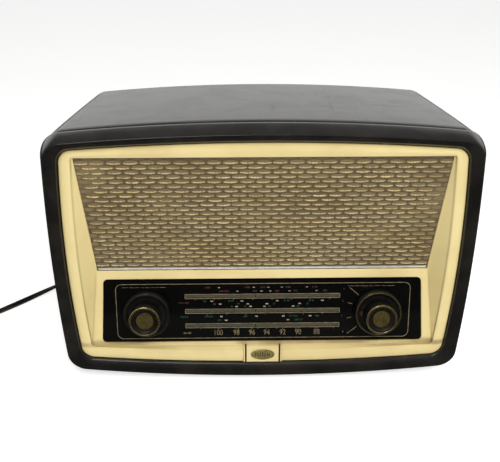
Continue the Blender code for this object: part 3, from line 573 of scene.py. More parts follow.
def make_flex_rubber():
    """Old rubber flex, polished black on top, with a painted grey-brown band low down where it lies on the
    table, a painted reflection of the table.
    """
    finish, tree, shader = new_finish("lead_rubber", IOR=1.5)
    mottle = use(tree, MOTTLE, Scale=70.0)
    colour = mix_colour(tree, mottle, (0.010, 0.009, 0.009), (0.022, 0.019, 0.017))
    # Painted reflection: the lowest few millimetres turn grey-brown, standing in for the table's light under
    # the lead.
    low = spread(tree, add_node(tree, "SeparateXYZ", {0: place(tree)}).outputs["Z"], 0.0035, 0.0018)
    colour = mix_colour(tree, math_node(tree, "MULTIPLY", low, 0.75), colour, (0.16, 0.12, 0.10))
    tree.links.new(colour, shader["Base Color"])
    tree.links.new(spread(tree, mottle, 0.0, 1.0, 0.38, 0.55), shader["Roughness"])
    bump(tree, shader, use(tree, GRAIN, Scale=900.0), 0.05, 0.5)
    return finish


def make_floor_finish():
    finish, tree, shader = new_finish("pale_table")
    pale = mix_colour(tree, use(tree, MOTTLE, Scale=2.0), (0.93, 0.93, 0.925), (0.915, 0.915, 0.91))
    ahead = spread(tree, add_node(tree, "SeparateXYZ", {0: place(tree)}).outputs["Y"], -0.53, -0.49)
    dim = mix_colour(tree, ahead, (0.01, 0.01, 0.01), (0.065, 0.065, 0.055))
    mirrored = add_node(tree, "LightPath").outputs["Is Glossy Ray"]
    tree.links.new(mix_colour(tree, mirrored, pale, dim), shader["Base Color"])
    tree.links.new(mix_colour(tree, mirrored, (0.66, 0.66, 0.66), (0.0, 0.0, 0.0)), shader["Emission Color"])
    shader["Emission Strength"].default_value = 1.0
    tree.links.new(spread(tree, use(tree, MOTTLE, Scale=6.0), 0.0, 1.0, 0.75, 0.9), shader["Roughness"])
    return finish


BRASS = dict(Metallic=1.0)
FINISHES = {
    "bakelite": make_bakelite(),
    "cream_moulding": make_cream(),
    "speaker_fabric": make_cloth_finish(),
    "gilt_thread": make_gilt_thread(),
    "dial_glass": make_dial_black(),
    "window_glass": make_window_glass(),
    "valve_glass": make_valve_glass(),
    "lead_rubber": make_flex_rubber(),
    "knob_black": finish_of(
        "knob_black", (0.004, 0.004, 0.004), (0.007, 0.007, 0.006), (0.3, 0.42), 90, dust=0.03, scuffs=0.4,
            IOR=1.5
    ),
    "knob_brass": finish_of(
        "knob_brass", (0.78, 0.66, 0.36), (0.40, 0.31, 0.13), (0.14, 0.34), 130, scuffs=0.6, grain=1500,
            **BRASS
    ),
    "tarnished_brass": finish_of(
        "tarnished_brass", (0.105, 0.080, 0.020), (0.060, 0.045, 0.012), (0.4, 0.6), 420, grain=1200,
            Metallic=0.45
    ),
    "badge_brass": finish_of(
        "badge_brass", (0.30, 0.25, 0.085), (0.17, 0.14, 0.05), (0.3, 0.5), 350, wear=0.6,
            bare=(0.6, 0.52, 0.3), Metallic=0.3
    ),
    "badge_ground": finish_of("badge_ground", (0.05, 0.042, 0.015), (0.02, 0.016, 0.006), (0.4, 0.6), 300),
    "gilt_print": finish_of("gilt_print", (0.215, 0.165, 0.085), (0.12, 0.095, 0.05), (0.35, 0.6), 220),
    "ivory_print": finish_of("ivory_print", (0.36, 0.33, 0.24), (0.24, 0.22, 0.16), (0.4, 0.6), 220),
    "red_print": finish_of("red_print", (0.13, 0.030, 0.018), (0.07, 0.015, 0.010), (0.4, 0.6), 220),
    "green_print": finish_of("green_print", (0.020, 0.115, 0.050), (0.010, 0.060, 0.026), (0.4, 0.6), 220),
    "bright_aluminium": finish_of(
        "bright_aluminium", (0.86, 0.86, 0.84), (0.62, 0.61, 0.58), (0.16, 0.34), 160, scuffs=0.6, **BRASS
    ),
    # Light grey paint in place of chrome: a painted reflection for the grille's trim strip.
    "trim_painted_reflection": finish_of(
        "trim_painted_reflection", (0.88, 0.88, 0.85), (0.66, 0.66, 0.63), (0.25, 0.4), 120, scuffs=0.3, Metallic=0.3
    ),
    "plated_steel": finish_of(
        "plated_steel", (0.58, 0.57, 0.52), (0.42, 0.40, 0.34), (0.32, 0.5), 70, dust=0.3, scuffs=0.5, **BRASS
    ),
    "brown_board": finish_of(
        "brown_board", (0.16, 0.088, 0.038), (0.105, 0.055, 0.022), (0.62, 0.85), 240, dust=0.3,
            grain=1600, relief=0.12
    ),
    "plywood": finish_of("plywood", (0.34, 0.20, 0.09), (0.24, 0.13, 0.055), (0.6, 0.8), 160, dust=0.4,
        relief=0.1),
    "cone_paper": finish_of(
        "cone_paper", (0.035, 0.032, 0.028), (0.060, 0.054, 0.046), (0.85, 0.95), 300, dust=0.2,
            grain=1800, relief=0.2
    ),
    "ivory_enamel": finish_of(
        "ivory_enamel", (0.62, 0.57, 0.44), (0.48, 0.43, 0.31), (0.4, 0.6), 60, dust=0.2, wear=0.3,
            bare=(0.25, 0.2, 0.14)
    ),
    "pointer_enamel": finish_of("pointer_enamel", (0.20, 0.022, 0.012), (0.10, 0.012, 0.008), (0.3, 0.5),
        200),
    "transformer_iron": finish_of(
        "transformer_iron", (0.035, 0.034, 0.032), (0.060, 0.050, 0.042), (0.4, 0.7), 120, dust=0.5,
            wear=0.5, grain=300
    ),
    "black_rubber": finish_of(
        "black_rubber", (0.014, 0.014, 0.014), (0.028, 0.027, 0.026), (0.6, 0.8), 120, dust=0.25, relief=0.06
    ),
    "drive_thread": finish_of("drive_thread", (0.45, 0.38, 0.24), (0.30, 0.24, 0.14), (0.7, 0.9), 500,
        grain=3000),
    "switch_paxolin": finish_of("switch_paxolin", (0.19, 0.085, 0.03), (0.12, 0.05, 0.018), (0.35, 0.55),
        150),
    "pale_table": make_floor_finish(),
}


# The camera, the light and the table


def make_camera():
    """The eye: forward of the set, a little left of its middle, looking down on it."""
    data = bpy.data.cameras.new("camera")
    data.sensor_width = 36.0
    data.lens = 49.36
    data.clip_start, data.clip_end = 0.05, 60.0
    camera = bpy.data.objects.new("camera", data)
    pitch, yaw, roll = math.radians(25.77), math.radians(0.85), math.radians(-0.05)
    turn = Matrix.Rotation(-yaw, 3, "Z") @ Matrix.Rotation(math.pi / 2 - pitch, 3,
        "X") @ Matrix.Rotation(roll, 3, "Z")
    camera.matrix_world = Matrix.Translation((-0.0220, -0.68725, 0.4664)) @ turn.to_4x4()
    bpy.context.scene.collection.objects.link(camera)
    bpy.context.scene.camera = camera


SOFT_WHITE = (1.0, 0.985, 0.96)


def add_lamp(name, place_at, aim, size, power, mirrored=True):
    data = bpy.data.lights.new(name, "AREA")
    data.shape = "RECTANGLE"
    data.size, data.size_y = size
    data.energy = power
    data.color = SOFT_WHITE
    lamp = bpy.data.objects.new(name, data)
    lamp.visible_glossy = mirrored
    lamp.location = place_at
    lamp.rotation_euler = (Vector(aim) - Vector(place_at)).to_track_quat("-Z", "Y").to_euler()
    bpy.context.scene.collection.objects.link(lamp)


def make_studio():
    scene = bpy.context.scene
    scene.view_settings.view_transform = "Standard"
    world = bpy.data.worlds.new("studio")
    scene.world = world
    world.use_nodes = True
    tree = world.node_tree
    background = tree.nodes["Background"]
    looking = add_node(tree, "TexCoord").outputs["Generated"]
    parts = add_node(tree, "SeparateXYZ", {0: looking}).outputs
    low = spread(tree, parts["Z"], 0.47, 0.34)
    band = math_node(tree, "MULTIPLY", spread(tree, parts["Y"], 0.15, 0.75), low)
    overhead = spread(tree, parts["Z"], 0.2, 0.9, 0.09, 0.20)
    tree.links.new(math_node(tree, "ADD", math_node(tree, "MULTIPLY", band, 0.84), overhead),
        background.inputs["Strength"])
    background.inputs["Color"].default_value = (1.0, 0.995, 0.985, 1.0)
    add_lamp("key_softbox", (0.45, -1.4, 1.35), (0, 0, 0.12), (1.0, 0.6), 24, mirrored=False)
    add_lamp("glint_softbox", (-0.5, -0.75, 1.9), (0, 0, 0.2), (1.1, 0.35), 5)

    bm = bmesh.new()
    bmesh.ops.create_grid(bm, x_segments=1, y_segments=1, size=1.0)
    mesh = bpy.data.meshes.new("table_top")
    bmesh.ops.scale(bm, vec=(7.0, 6.5, 1.0), verts=bm.verts)
    bmesh.ops.translate(bm, vec=(0, 4.4, 0), verts=bm.verts)
    bm.to_mesh(mesh)
    bm.free()
    mesh.materials.append(FINISHES["pale_table"])
    floor = bpy.data.objects.new("table_top", mesh)
    scene.collection.objects.link(floor)


# The mains lead, its grommet, tie and plug

LEAD_D = 6.8
LEAD_PITCH = 6.9
LEAD_Z = 3.7
LEAD_EXIT = (-120.0, 32.0)
BOOT_LENGTH = 34.0
LEAD_ROUTE = (
    (-120.0, 233.2, 32.0),
    (-120.2, 246.0, 31.4),
    (-123.5, 259.0, 27.0),
    (-131.0, 271.5, 19.5),
    (-144.0, 281.0, 10.5),
    (-162.0, 285.5, 5.0),
    (-184.0, 283.0, LEAD_Z),
    (-207.0, 270.5, LEAD_Z),
    (-229.0, 250.0, LEAD_Z),
    (-249.0, 226.0, LEAD_Z),
    (-267.0, 203.5, LEAD_Z),
    (-281.0, 187.5, LEAD_Z),
    (-295.0, 171.5, LEAD_Z),
    (-309.5, 155.5, LEAD_Z),
)
COIL_CENTRE = (-382.0, 147.0)
COIL_TURNS = 6.425
COIL_MEAN_R = 34.8
COIL_ENTRY = math.radians(-44.5)
COIL_REACH = COIL_MEAN_R + LEAD_PITCH * COIL_TURNS / 4
PLUG_REACH = 20.0
PLUG_Z = 12.0
FLEX_STEP = 4.0
FLEX_TWIST = 300.0


def smooth_route(points, step):
    """Evenly spaced points on a smooth curve through the route's own points."""
    pts = np.array(points, float)
    ahead = np.vstack([2 * pts[0] - pts[1], pts, 2 * pts[-1] - pts[-2]])
    fine = []
    for a, b, c, d in zip(ahead, ahead[1:], ahead[2:], ahead[3:]):
        for t in np.linspace(0, 1, 20, endpoint=False):
            bend = (2 * a - 5 * b + 4 * c - d) * t**2 + (3 * b - a - 3 * c + d) * t**3
            fine.append(0.5 * (2 * b + (c - a) * t + bend))
    fine.append(pts[-1])
    fine = np.array(fine)
    along = np.concatenate([[0], np.cumsum(np.linalg.norm(np.diff(fine, axis=0), axis=1))])
    places = np.linspace(0, along[-1], max(2, round(along[-1] / step) + 1))
    return np.stack([np.interp(places, along, fine[:, k]) for k in range(3)], axis=1)


def coil_tangent(angle, before):
    """A point beside the coil, a distance before or after the lead touches it at an angle."""
    x = COIL_CENTRE[0] + COIL_REACH * math.cos(angle) - before * math.sin(angle)
    y = COIL_CENTRE[1] + COIL_REACH * math.sin(angle) + before * math.cos(angle)
    return x, y


def coil_points():
    """The turns: flat on the table from the outside in, then out again on top of them."""
    count = round(2 * math.pi * COIL_MEAN_R * COIL_TURNS / FLEX_STEP)
    points = []
    for k in range(count + 1):
        share = k / count
        turns = share * COIL_TURNS
        half = COIL_TURNS / 2
        radius = COIL_REACH - LEAD_PITCH * (half - abs(turns - half))
        climb = min(1.0, max(0.0, (turns - half + 0.3) / 0.6))
        angle = COIL_ENTRY - 2 * math.pi * turns
        z = LEAD_Z + LEAD_D * (3 * climb**2 - 2 * climb**3)
        x, y = COIL_CENTRE[0] + radius * math.cos(angle), COIL_CENTRE[1] + radius * math.sin(angle)
        points.append((x, y, z))
    return points


def lead_path():
    clear = math.sqrt((COIL_REACH + LEAD_D + 0.3) ** 2 - COIL_REACH**2)
    entry = coil_tangent(COIL_ENTRY, clear)
    run = smooth_route(((-120.0, 224.0, 32.0),) + LEAD_ROUTE + ((*entry, LEAD_Z),), FLEX_STEP)
    leave = COIL_ENTRY - 2 * math.pi * COIL_TURNS
    top = LEAD_Z + LEAD_D
    tail = [(*coil_tangent(leave, -clear - s), z) for s,
        z in ((0, top), (8, top + 0.3), (PLUG_REACH, PLUG_Z))]
    mouth = coil_tangent(leave, -clear - PLUG_REACH - 0.3)
    tail.append((*coil_tangent(leave, -clear - PLUG_REACH - 6), PLUG_Z))
    route = np.vstack([run, coil_points()[1:-1], smooth_route(tail, FLEX_STEP)])
    along = np.concatenate([[0], np.cumsum(np.linalg.norm(np.diff(route, axis=0), axis=1))])
    places = np.linspace(0, along[-1], round(along[-1] / FLEX_STEP) + 1)
    even = np.stack([np.interp(places, along, route[:, k]) for k in range(3)], axis=1)
    return even, places, leave, mouth


def make_flex(path, along):
    """Two rubber cores side by side that turn slowly about each other."""
    ahead = np.gradient(path, axis=0)
    ahead /= np.linalg.norm(ahead, axis=1)[:, None]
    side = np.cross(ahead, (0, 0, 1.0))
    side /= np.linalg.norm(side, axis=1)[:, None]
    up = np.cross(side, ahead)
    turn = (2 * math.pi * along / FLEX_TWIST + math.radians(248))[:, None]
    across = side * np.cos(turn) + up * np.sin(turn)
    core = LEAD_D / 4
    return join(*[tube(path + s * across * core * 0.98, core * 0.99, 10) for s in (-1, 1)])


def make_boot():
    """The tapered rubber grommet, ribbed, with the lead's hole at its end."""
    profile = [(3.6, BOOT_LENGTH - 12), (3.6, BOOT_LENGTH), (4.3, BOOT_LENGTH), (4.6, BOOT_LENGTH - 0.6)]
    for k in range(5):
        z = BOOT_LENGTH - 4.0 - 4.2 * k
        r = 4.75 + 0.34 * k
        profile += [(r, z + 0.9), (r - 0.7, z + 0.5), (r - 0.7, z - 0.5), (r + 0.12, z - 0.9)]
    profile += [(6.8, 7.6), (9.0, 7.0), (9.5, 6.3), (9.5, 3.9), (9.2, 3.6), (6.5, 3.4), (6.5, 0), (0, 0),
        (0, 20)]
    profile = profile[::-1]
    at = Matrix.Translation((LEAD_EXIT[0], FRONT_Y + 198.6, LEAD_EXIT[1])) @ Matrix.Rotation(-math.pi / 2,
        4, "X")
    return add_piece(
        "lead_boot", turned(profile, 40), FINISHES["black_rubber"], at=at,
            replaces="lead_grommet"
    )


def make_plug(leave, mouth):
    at = Matrix.Translation((mouth[0], FRONT_Y + mouth[1], 0.2)) @ Matrix.Rotation(leave - math.pi, 4, "Z")
    outline = [(-6, 0), (6, 0), (14, 5), (23, 10), (24, 16), (24, 44), (21, 48)]
    outline += [(-x, y) for x, y in reversed(outline) if abs(x) > 6.5]
    body = add_piece("plug_body", plate(outline, 0, 23.6), FINISHES["bakelite"], at=at,
        replaces="plug")
    soften(body, 1.6, 3)
    pins = join(*[
        block((wide, 8 if x == 0 else 4, length + 1), (x, y, 23.6 + (length - 0.4) / 2))
        for x, y, wide, length in ((0, 18, 4, 23), (-11, 38, 6, 18), (11, 38, 6, 18))
    ])
    pins = add_piece("plug_pins", pins, FINISHES["knob_brass"], at=at)
    soften(pins, 0.5)
    screw = turned([(0, 23.6), (3.4, 23.6), (3.4, 24.0), (0, 24.0)], 24)
    screw = add_piece("plug_screw", moved(screw, 0, 29), FINISHES["plated_steel"], at=at)
    return [body, pins, screw]


def make_tie():
    """A flat rubber band round the coil's turns."""
    angle = math.radians(60)
    middle, half, top = COIL_MEAN_R, COIL_REACH - COIL_MEAN_R + LEAD_D / 2 + 0.1, 14.0
    loops = []
    for grow in (0.0, 0.22):
        outline = rounded_box(half + grow, 0.27 - grow, top - 0.25 + grow, 3.0 + grow, 6)
        loops.append([(middle + x, y) for x, y in outline])
    rings = []
    for y in (-2.5, 2.5):
        for loop in loops if y < 0 else loops[::-1]:
            rings.append([(r, y, z) for r, z in loop])
    at = Matrix.Translation((COIL_CENTRE[0], FRONT_Y + COIL_CENTRE[1], 0)) @ Matrix.Rotation(angle, 4, "Z")
    return add_piece("coil_tie", skin(rings), FINISHES["black_rubber"], at=at)


def make_lead():
    path, along, leave, mouth = lead_path()
    lead = add_piece(
        "mains_flex",
        make_flex(path, along),
        FINISHES["lead_rubber"],
        replaces=("mains_lead", "lead_coil", "lead_tail"),
    )
    pieces = [make_boot(), make_tie(), *make_plug(leave, mouth)]
    in_frame = [(x * MM, (FRONT_Y + y) * MM, z * MM) for x, y, z in path]


# The cabinet and the front


def bowed_outline(half_width, top, bottom, corner, bow=0.0175, arch=0.0737, sag=0.095):
    """Points round a rounded oblong with bowed sides, as (x, z), anticlockwise from the right."""
    middle = (top + bottom) / 2
    half = (top - bottom) / 2
    steps = 10
    points = []
    corners = rounded_box(half_width, -half, half, corner, steps)
    for side, count in enumerate((28, 20, 28, 20)):
        arc = corners[side * (steps + 1) : (side + 1) * (steps + 1)]
        following = corners[(side + 1) * (steps + 1) % len(corners)]
        points += arc
        for k in range(1, count):
            points.append(tuple(a + (b - a) * k / count for a, b in zip(arc[-1], following)))
    shaped = []
    for x, z in points:
        lift = arch if z > 0 else sag
        bowed_x = x * (1 - bow * (z / half) ** 2)
        shaped.append((bowed_x, middle + z * (1 - lift * (x / half_width) ** 2)))
    return shaped


def blend(first, second, share):
    return [(a[0] + (b[0] - a[0]) * share, a[1] + (b[1] - a[1]) * share) for a, b in zip(first, second)]


def ring_at(outline, depth):
    return [(x, depth, z) for x, z in outline]


def cabinet_outline(inset=0.0):
    return bowed_outline(HALF_WIDTH - inset, CABINET_TOP - inset, CABINET_BOTTOM + inset, CORNER - inset)


def body_outline(depth, inset=0.0):
    """The body's outline between the rim and the back edge; it narrows faster near the back."""
    half, top, bottom = REAR
    rear = bowed_outline(half - inset, top - inset, bottom + inset, CORNER - inset, sag=0.05, arch=0.07)
    share = max(0.0, (depth - RIM_DEPTH) / (BODY_DEPTH - RIM_DEPTH))
    return blend(cabinet_outline(inset), rear, share**1.15)


def front_outline(grow=0.0):
    return bowed_outline(194.5 + grow, 267.4 + grow, 23.0 - grow, 12 + grow, 0.026, 0.06, 0.07)


def lip_outline(inset=0.0):
    return bowed_outline(185.5 - inset, 261.0 - inset, 37.5 + inset, 6.5 - inset, 0.026, 0.03, 0.05)


def dial_face_depth(z):
    return DIAL_FACE_DEPTH + (z - DIAL_HEIGHT) * math.tan(DIAL_LEAN)


def dish_half(z):
    """Half the width of the dished middle at a height."""
    if z > FOLD_HEIGHT:
        return FOLD_HALF + (GRILLE_HALF_TOP - FOLD_HALF) * (z - FOLD_HEIGHT) / (GRILLE_TOP - FOLD_HEIGHT)
    return DISH_HALF_BOTTOM + (FOLD_HALF - DISH_HALF_BOTTOM) * (z - DISH_BOTTOM) / (FOLD_HEIGHT - DISH_BOTTOM)


def dish_depth(z):
    if z > FOLD_HEIGHT:
        return dial_face_depth(FOLD_HEIGHT) - (z - FOLD_HEIGHT) * math.tan(GRILLE_SLOPE)
    return dial_face_depth(z)


def dish_ring():
    """The edge of the dished middle, point for point inside the lip."""
    outline = lip_outline(2.5)
    nearest = [min((p for p in outline if p[0] * side > 100),
        key=lambda p: abs(p[1] - FOLD_HEIGHT)) for side in (-1, 1)]
    ring = []
    for point in outline:
        x, z = point
        side = 1 if x > 0 else -1
        on_fold = point in nearest
        z = FOLD_HEIGHT if on_fold else min(max(z, DISH_BOTTOM), GRILLE_TOP)
        half = dish_half(z)
        edge = on_fold or abs(x) > half or (DISH_BOTTOM < z < GRILLE_TOP)
        ring.append((half * side if edge else x, dish_depth(z), z))
    return ring


def make_cabinet():
    outer = cabinet_outline()
    opening = front_outline(0.3)
    rings = [ring_at(opening, 10.0)]
    for a in np.radians(np.linspace(90, 0, 9)[:-1]):
        rings.append(ring_at(blend(outer, opening, 0.42 + 0.58 * math.sin(a)), 7.0 * (1 - math.cos(a))))
    for a in np.radians(np.linspace(90, 0, 15)):
        share = 0.42 * (0.35 * math.sin(a) + 0.65 * (1 - math.cos(a)))
        rings.append(ring_at(blend(outer, opening, share), 23.6 * (1 - math.sin(a))))
    rings.append(ring_at(cabinet_outline(0.15), 24.1))
    rings.append(ring_at(cabinet_outline(0.6), RIM_DEPTH))
    rings.append(ring_at(cabinet_outline(1.9), RIM_DEPTH + 0.15))
    rings.append(ring_at(cabinet_outline(1.9), RIM_DEPTH + 0.85))
    rings.append(ring_at(body_outline(RIM_DEPTH + 1, 0.95), RIM_DEPTH + 1))
    for d in (RIM_DEPTH + 1.5, 40, 60, 80, 100, 125, 150, 175, 195, 202):
        rings.append(ring_at(body_outline(d, 0.8 * (BODY_DEPTH - d) / BODY_DEPTH), d))
    for a in np.radians((0, 30, 60, 90)):
        rings.append(ring_at(body_outline(BODY_DEPTH, 1.2 * (1 - math.cos(a))),
            BODY_DEPTH - 1.2 * (1 - math.sin(a))))
    rings += [ring_at(body_outline(d, WALL + 0.8), d) for d in (BODY_DEPTH, 160, 120, 80, 40)]
    rings.append(ring_at(cabinet_outline(WALL + 1), 10.0))
    posts = []
    for x in (-146, 146):
        for depth in (98.0, 172.0):
            posts.append(moved(turned([(0, 7.4), (10.5, 7.4), (10.5, 14.7), (0, 14.7)], 32), x, depth))
    add_piece(
        "cabinet", join(skin(rings), *posts), FINISHES["bakelite"],
            replaces="cabinet_shell", smooth=45
    )


def between(first, second, share):
    return [tuple(a + (b - a) * share for a, b in zip(p, q)) for p, q in zip(first, second)]


def on_dial(point, height):
    """A place on the dial's plane, in depths, from (x, up)."""
    x, up = point
    depth = DIAL_DEPTH + up * math.sin(DIAL_LEAN) - height * math.cos(DIAL_LEAN)
    return (x, depth, DIAL_HEIGHT + up * math.cos(DIAL_LEAN) + height * math.sin(DIAL_LEAN))


def make_front():
    """The cream moulding: rounded lip, slanting facets, the ledge round the dial and the grille's edge."""
    opening = front_outline(-0.3)
    lip = lip_outline()
    dish = dish_ring()
    lip_inner = ring_at(lip_outline(2.5), 3.6)
    rings = [ring_at(opening, 10.3)]
    for a in np.radians(np.linspace(0, 90, 13)):
        rings.append(ring_at(blend(opening, lip, 1 - math.cos(a)), 7.0 - 4.0 * math.sin(a)))
    rings.append(ring_at(lip_outline(1.3), 3.12))
    rings.append(lip_inner)
    for share in (0.05, 0.2, 0.4, 0.6, 0.8, 0.93, 1.0):
        rings.append(between(lip_inner, dish, share))
    bm = bmesh.new()
    loops = [[bm.verts.new(point) for point in ring] for ring in rings]
    for first, second in zip(loops, loops[1:]):
        bridge(bm, first, second)
    last = loops[-1]
    start = last.index(next(v for v in last if abs(v.co.z - FOLD_HEIGHT) < 0.001 and v.co.x > 0))
    ordered = last[start:] + last[:start]
    upper = [v for v in ordered if v.co.z > FOLD_HEIGHT - 0.001]
    lower = [v for v in ordered if v.co.z < FOLD_HEIGHT + 0.001]
    lower = lower[1:] + lower[:1] if lower[0].co.x > 0 else lower
    fold = [bm.verts.new((x, FOLD_DEPTH, FOLD_HEIGHT)) for x in np.linspace(-160, 160, 33)]
    grille_loop = upper + fold
    inner = [[], []]
    for v in grille_loop:
        for ring, (inset, back) in zip(inner, ((0.5, 0.35), (0.7, 2.0))):
            z = min(max(v.co.z, FOLD_HEIGHT - inset), GRILLE_TOP - inset)
            z = FOLD_HEIGHT - inset if abs(v.co.z - FOLD_HEIGHT) < 0.001 else z
            half = dish_half(max(z, FOLD_HEIGHT)) - inset
            x = max(-half, min(half, v.co.x))
            ring.append(bm.verts.new((x, dish_depth(max(z, FOLD_HEIGHT)) + back, z)))
    bridge(bm, grille_loop, inner[0])
    bridge(bm, inner[0], inner[1])
    surround = lower + fold[::-1]
    inset = 1.4
    shelf = []
    for v in surround:
        z = min(max(v.co.z, DISH_BOTTOM + inset), FOLD_HEIGHT - inset)
        half = dish_half(z) - inset
        shelf.append(bm.verts.new((max(-half, min(half, v.co.x)), dial_face_depth(z), z)))
    bridge(bm, surround, shelf)
    face_height = (DIAL_DEPTH - DIAL_FACE_DEPTH) * math.cos(DIAL_LEAN)
    window = []
    for grow, height in ((0.9, face_height), (0.45, face_height - 0.12), (0.12, face_height - 0.45),
        (0.0, face_height - 0.9), (0.0, -0.25)):
        outline = rounded_box(DIAL_HALF + grow, DIAL_LOW - grow, DIAL_HIGH + grow, 4.5 + grow, 8)
        outline = [(x * (1.0045 - 0.00039 * up), up) for x, up in outline]
        window.append([bm.verts.new(on_dial(point, height)) for point in outline])
    for first, second in zip(window, window[1:]):
        bridge(bm, first, second)
    bmesh.ops.remove_doubles(bm, verts=bm.verts, dist=0.004)
    bm.verts.ensure_lookup_table()
    edges = set()
    for loop in (shelf, window[0]):
        alive = [v for v in loop if v.is_valid]
        for a, b in zip(alive, alive[1:] + alive[:1]):
            edge = bm.edges.get((a, b))
            if edge:
                edges.add(edge)
    bmesh.ops.triangle_fill(bm, use_beauty=True, edges=list(edges), normal=(0, -1, 0.2))
    bmesh.ops.recalc_face_normals(bm, faces=bm.faces)
    if sum(f.normal.y * f.calc_area() for f in bm.faces) > 0:
        bmesh.ops.reverse_faces(bm, faces=bm.faces)
    front = add_piece("front_moulding", bm, FINISHES["cream_moulding"],
        replaces="front_fascia", smooth=60)
    thick = front.modifiers.new("Wall", "SOLIDIFY")
    thick.thickness = 1.2 * MM
    thick.offset = -1.0
    return front


def make_badge():
    """The block over the lip with a dark slot down each side, and a blank oval badge."""
    low, high = 24.9, 47.6
    side = [(9.6, low), (9.6, high - 7), (7.4, high - 3), (7.2, high), (6.6, high), (6.0, high - 0.4)]
    side += [(2.6, high - 4.2), (2.2, high - 5.2), (2.2, low + 1.0), (2.5, low + 0.3), (3.2, low)]
    half, near, far = 20.3, 16.8, 18.7
    outward = (near - 0.3, near, near + 0.1, far - 0.1, far, far + 0.2, half - 0.3, half)
    ends = [-x for x in reversed(outward)] + list(outward)
    dips = (0.0, 0.12, 1.5, 1.5, 0.12, 0.0, 0.0, 0.6)
    sunk = list(reversed(dips)) + list(dips)
    rings = [[(x, y + (deep if y < 5.5 else 0), z) for y, z in side] for x, deep in zip(ends, sunk)]
    add_piece(
        "badge_plinth", skin(rings, close=False, caps=True), FINISHES["cream_moulding"],
        replaces="badge_block", smooth=50,
    )
    strip = [(y + 0.45, z) for y, z in side if y < 7.0 and z > low]
    strip += [(y + 0.4, z) for y, z in reversed(strip)]
    slots = [skin([[(x + s, y, z) for y, z in strip] for s in (-0.82, 0.82)], close=False, caps=True)
             for x in (-(near + far) / 2, (near + far) / 2)]
    add_piece("badge_slots", join(*slots), FINISHES["badge_ground"])
    at = Matrix.Translation((0, FRONT_Y + 1.9, 35.0)) @ Matrix.Rotation(math.pi / 2, 4, "X")
    base = turned([(0, 0), (12.5, 0), (12.5, 0.6), (12.2, 0.95), (11.6, 0.95), (11.1, 0.5), (0, 0.5)], 96)
    base.transform(Matrix.Scale(0.5, 4, (0, 1, 0)))
    add_piece("oval_plate", base, FINISHES["badge_brass"], at=at, replaces="oval_badge")
    bars = []
    for k in range(-3, 4):
        height = 6.6 - 1.25 * abs(k)
        bars.append(block((0.9, height, 0.4), (2.5 * k, 0, 0.62)))
    emblem = add_piece("oval_emblem", join(*bars), FINISHES["badge_ground"], at=at)
    soften(emblem, 0.12)


# The speaker cloth

ROW_PITCH = 5.05
FLOAT_PITCH = 15.5
CLOTH_TOP = (GRILLE_TOP - FOLD_HEIGHT) / math.cos(GRILLE_SLOPE)
CLOTH_LEVEL = -2.35
CLOTH_RELIEF = 0.75


def float_centres():
    """Where each float of the weave lies: rows up the cloth, every second one half a float along."""
    random = np.random.default_rng(31)
    rows = int(CLOTH_TOP / ROW_PITCH) + 2
    for row in range(rows):
        up = 1.2 + row * ROW_PITCH
        start = (0.5 if row % 2 else 0.0) * FLOAT_PITCH
        for k in range(-13, 13):
            wander = random.normal(0, 0.32, 2)
            yield row, start + k * FLOAT_PITCH + wander[0], up + wander[1] * 0.35


def cloth_half(up):
    share = up / CLOTH_TOP
    return FOLD_HALF + 1.6 + (GRILLE_HALF_TOP - FOLD_HALF) * share


def make_cloth():
    """The woven sheet: each float is a low pillow, pinched where the weft holds it down."""
    across, high = 560, 190
    ups = np.linspace(-1.2, CLOTH_TOP + 1.2, high)
    shares = np.linspace(-1, 1, across)
    half = FOLD_HALF + 1.6 + (GRILLE_HALF_TOP - FOLD_HALF) * ups / CLOTH_TOP
    x = shares[None, :] * half[:, None]
    up = np.repeat(ups[:, None], across, axis=1)
    row = np.floor((up - 1.2) / ROW_PITCH + 0.5)
    along = (x - np.where(row % 2 == 1, 0.5 * FLOAT_PITCH, 0.0)) / FLOAT_PITCH
    along = along - np.floor(along + 0.5)
    beside = (up - 1.2) / ROW_PITCH - row
    lens = np.clip(1 - np.abs(along * 2.12) ** 2.6, 0, 1)
    pillow = np.sqrt(np.clip(lens - (beside * 2.15) ** 2 * (0.6 + 0.5 * lens), 0, 1))
    slow = 0.25 * np.sin(x / 31.0) * np.sin(up / 17.0) + 0.15 * np.sin(x / 11.3 + up / 7.0)
    height = pillow * (0.85 + slow)
    level = CLOTH_LEVEL + CLOTH_RELIEF * height
    front = np.stack([x, up, level], axis=-1).reshape(-1, 3)
    back = np.stack([x, up, np.full_like(x, CLOTH_LEVEL - 0.2)], axis=-1).reshape(-1, 3)
    n = across * high
    i = np.arange(n).reshape(high, across)
    quads = np.stack([i[:-1, :-1], i[:-1, 1:], i[1:, 1:], i[1:, :-1]], axis=-1).reshape(-1, 4)
    rim = np.concatenate([i[0, :], i[1:, -1], i[-1, -2::-1], i[-2:0:-1, 0]])
    walls = np.stack([np.roll(rim, -1), rim, rim + n, np.roll(rim, -1) + n], axis=-1)
    faces = np.concatenate([quads, quads[:, ::-1] + n, walls])
    mesh = bpy.data.meshes.new("grille_cloth")
    points = np.concatenate([front, back])
    world = GRILLE
    turn = np.array(world.to_3x3())
    points = (points @ turn.T + np.array(world.translation)) * MM
    mesh.from_pydata(points.tolist(), [], faces.tolist())
    raised = mesh.attributes.new("float_height", "FLOAT", "POINT")
    raised.data.foreach_set("value", np.concatenate([height.ravel(), np.zeros(n)]).astype(np.float32))
    mesh.materials.append(FINISHES["speaker_fabric"])
    mesh.shade_smooth()
    cloth = bpy.data.objects.new("grille_cloth", mesh)
    bpy.context.scene.collection.objects.link(cloth)
    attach(cloth, "cabinet")
    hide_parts("speaker_cloth")
    threads = make_gilt_floats()


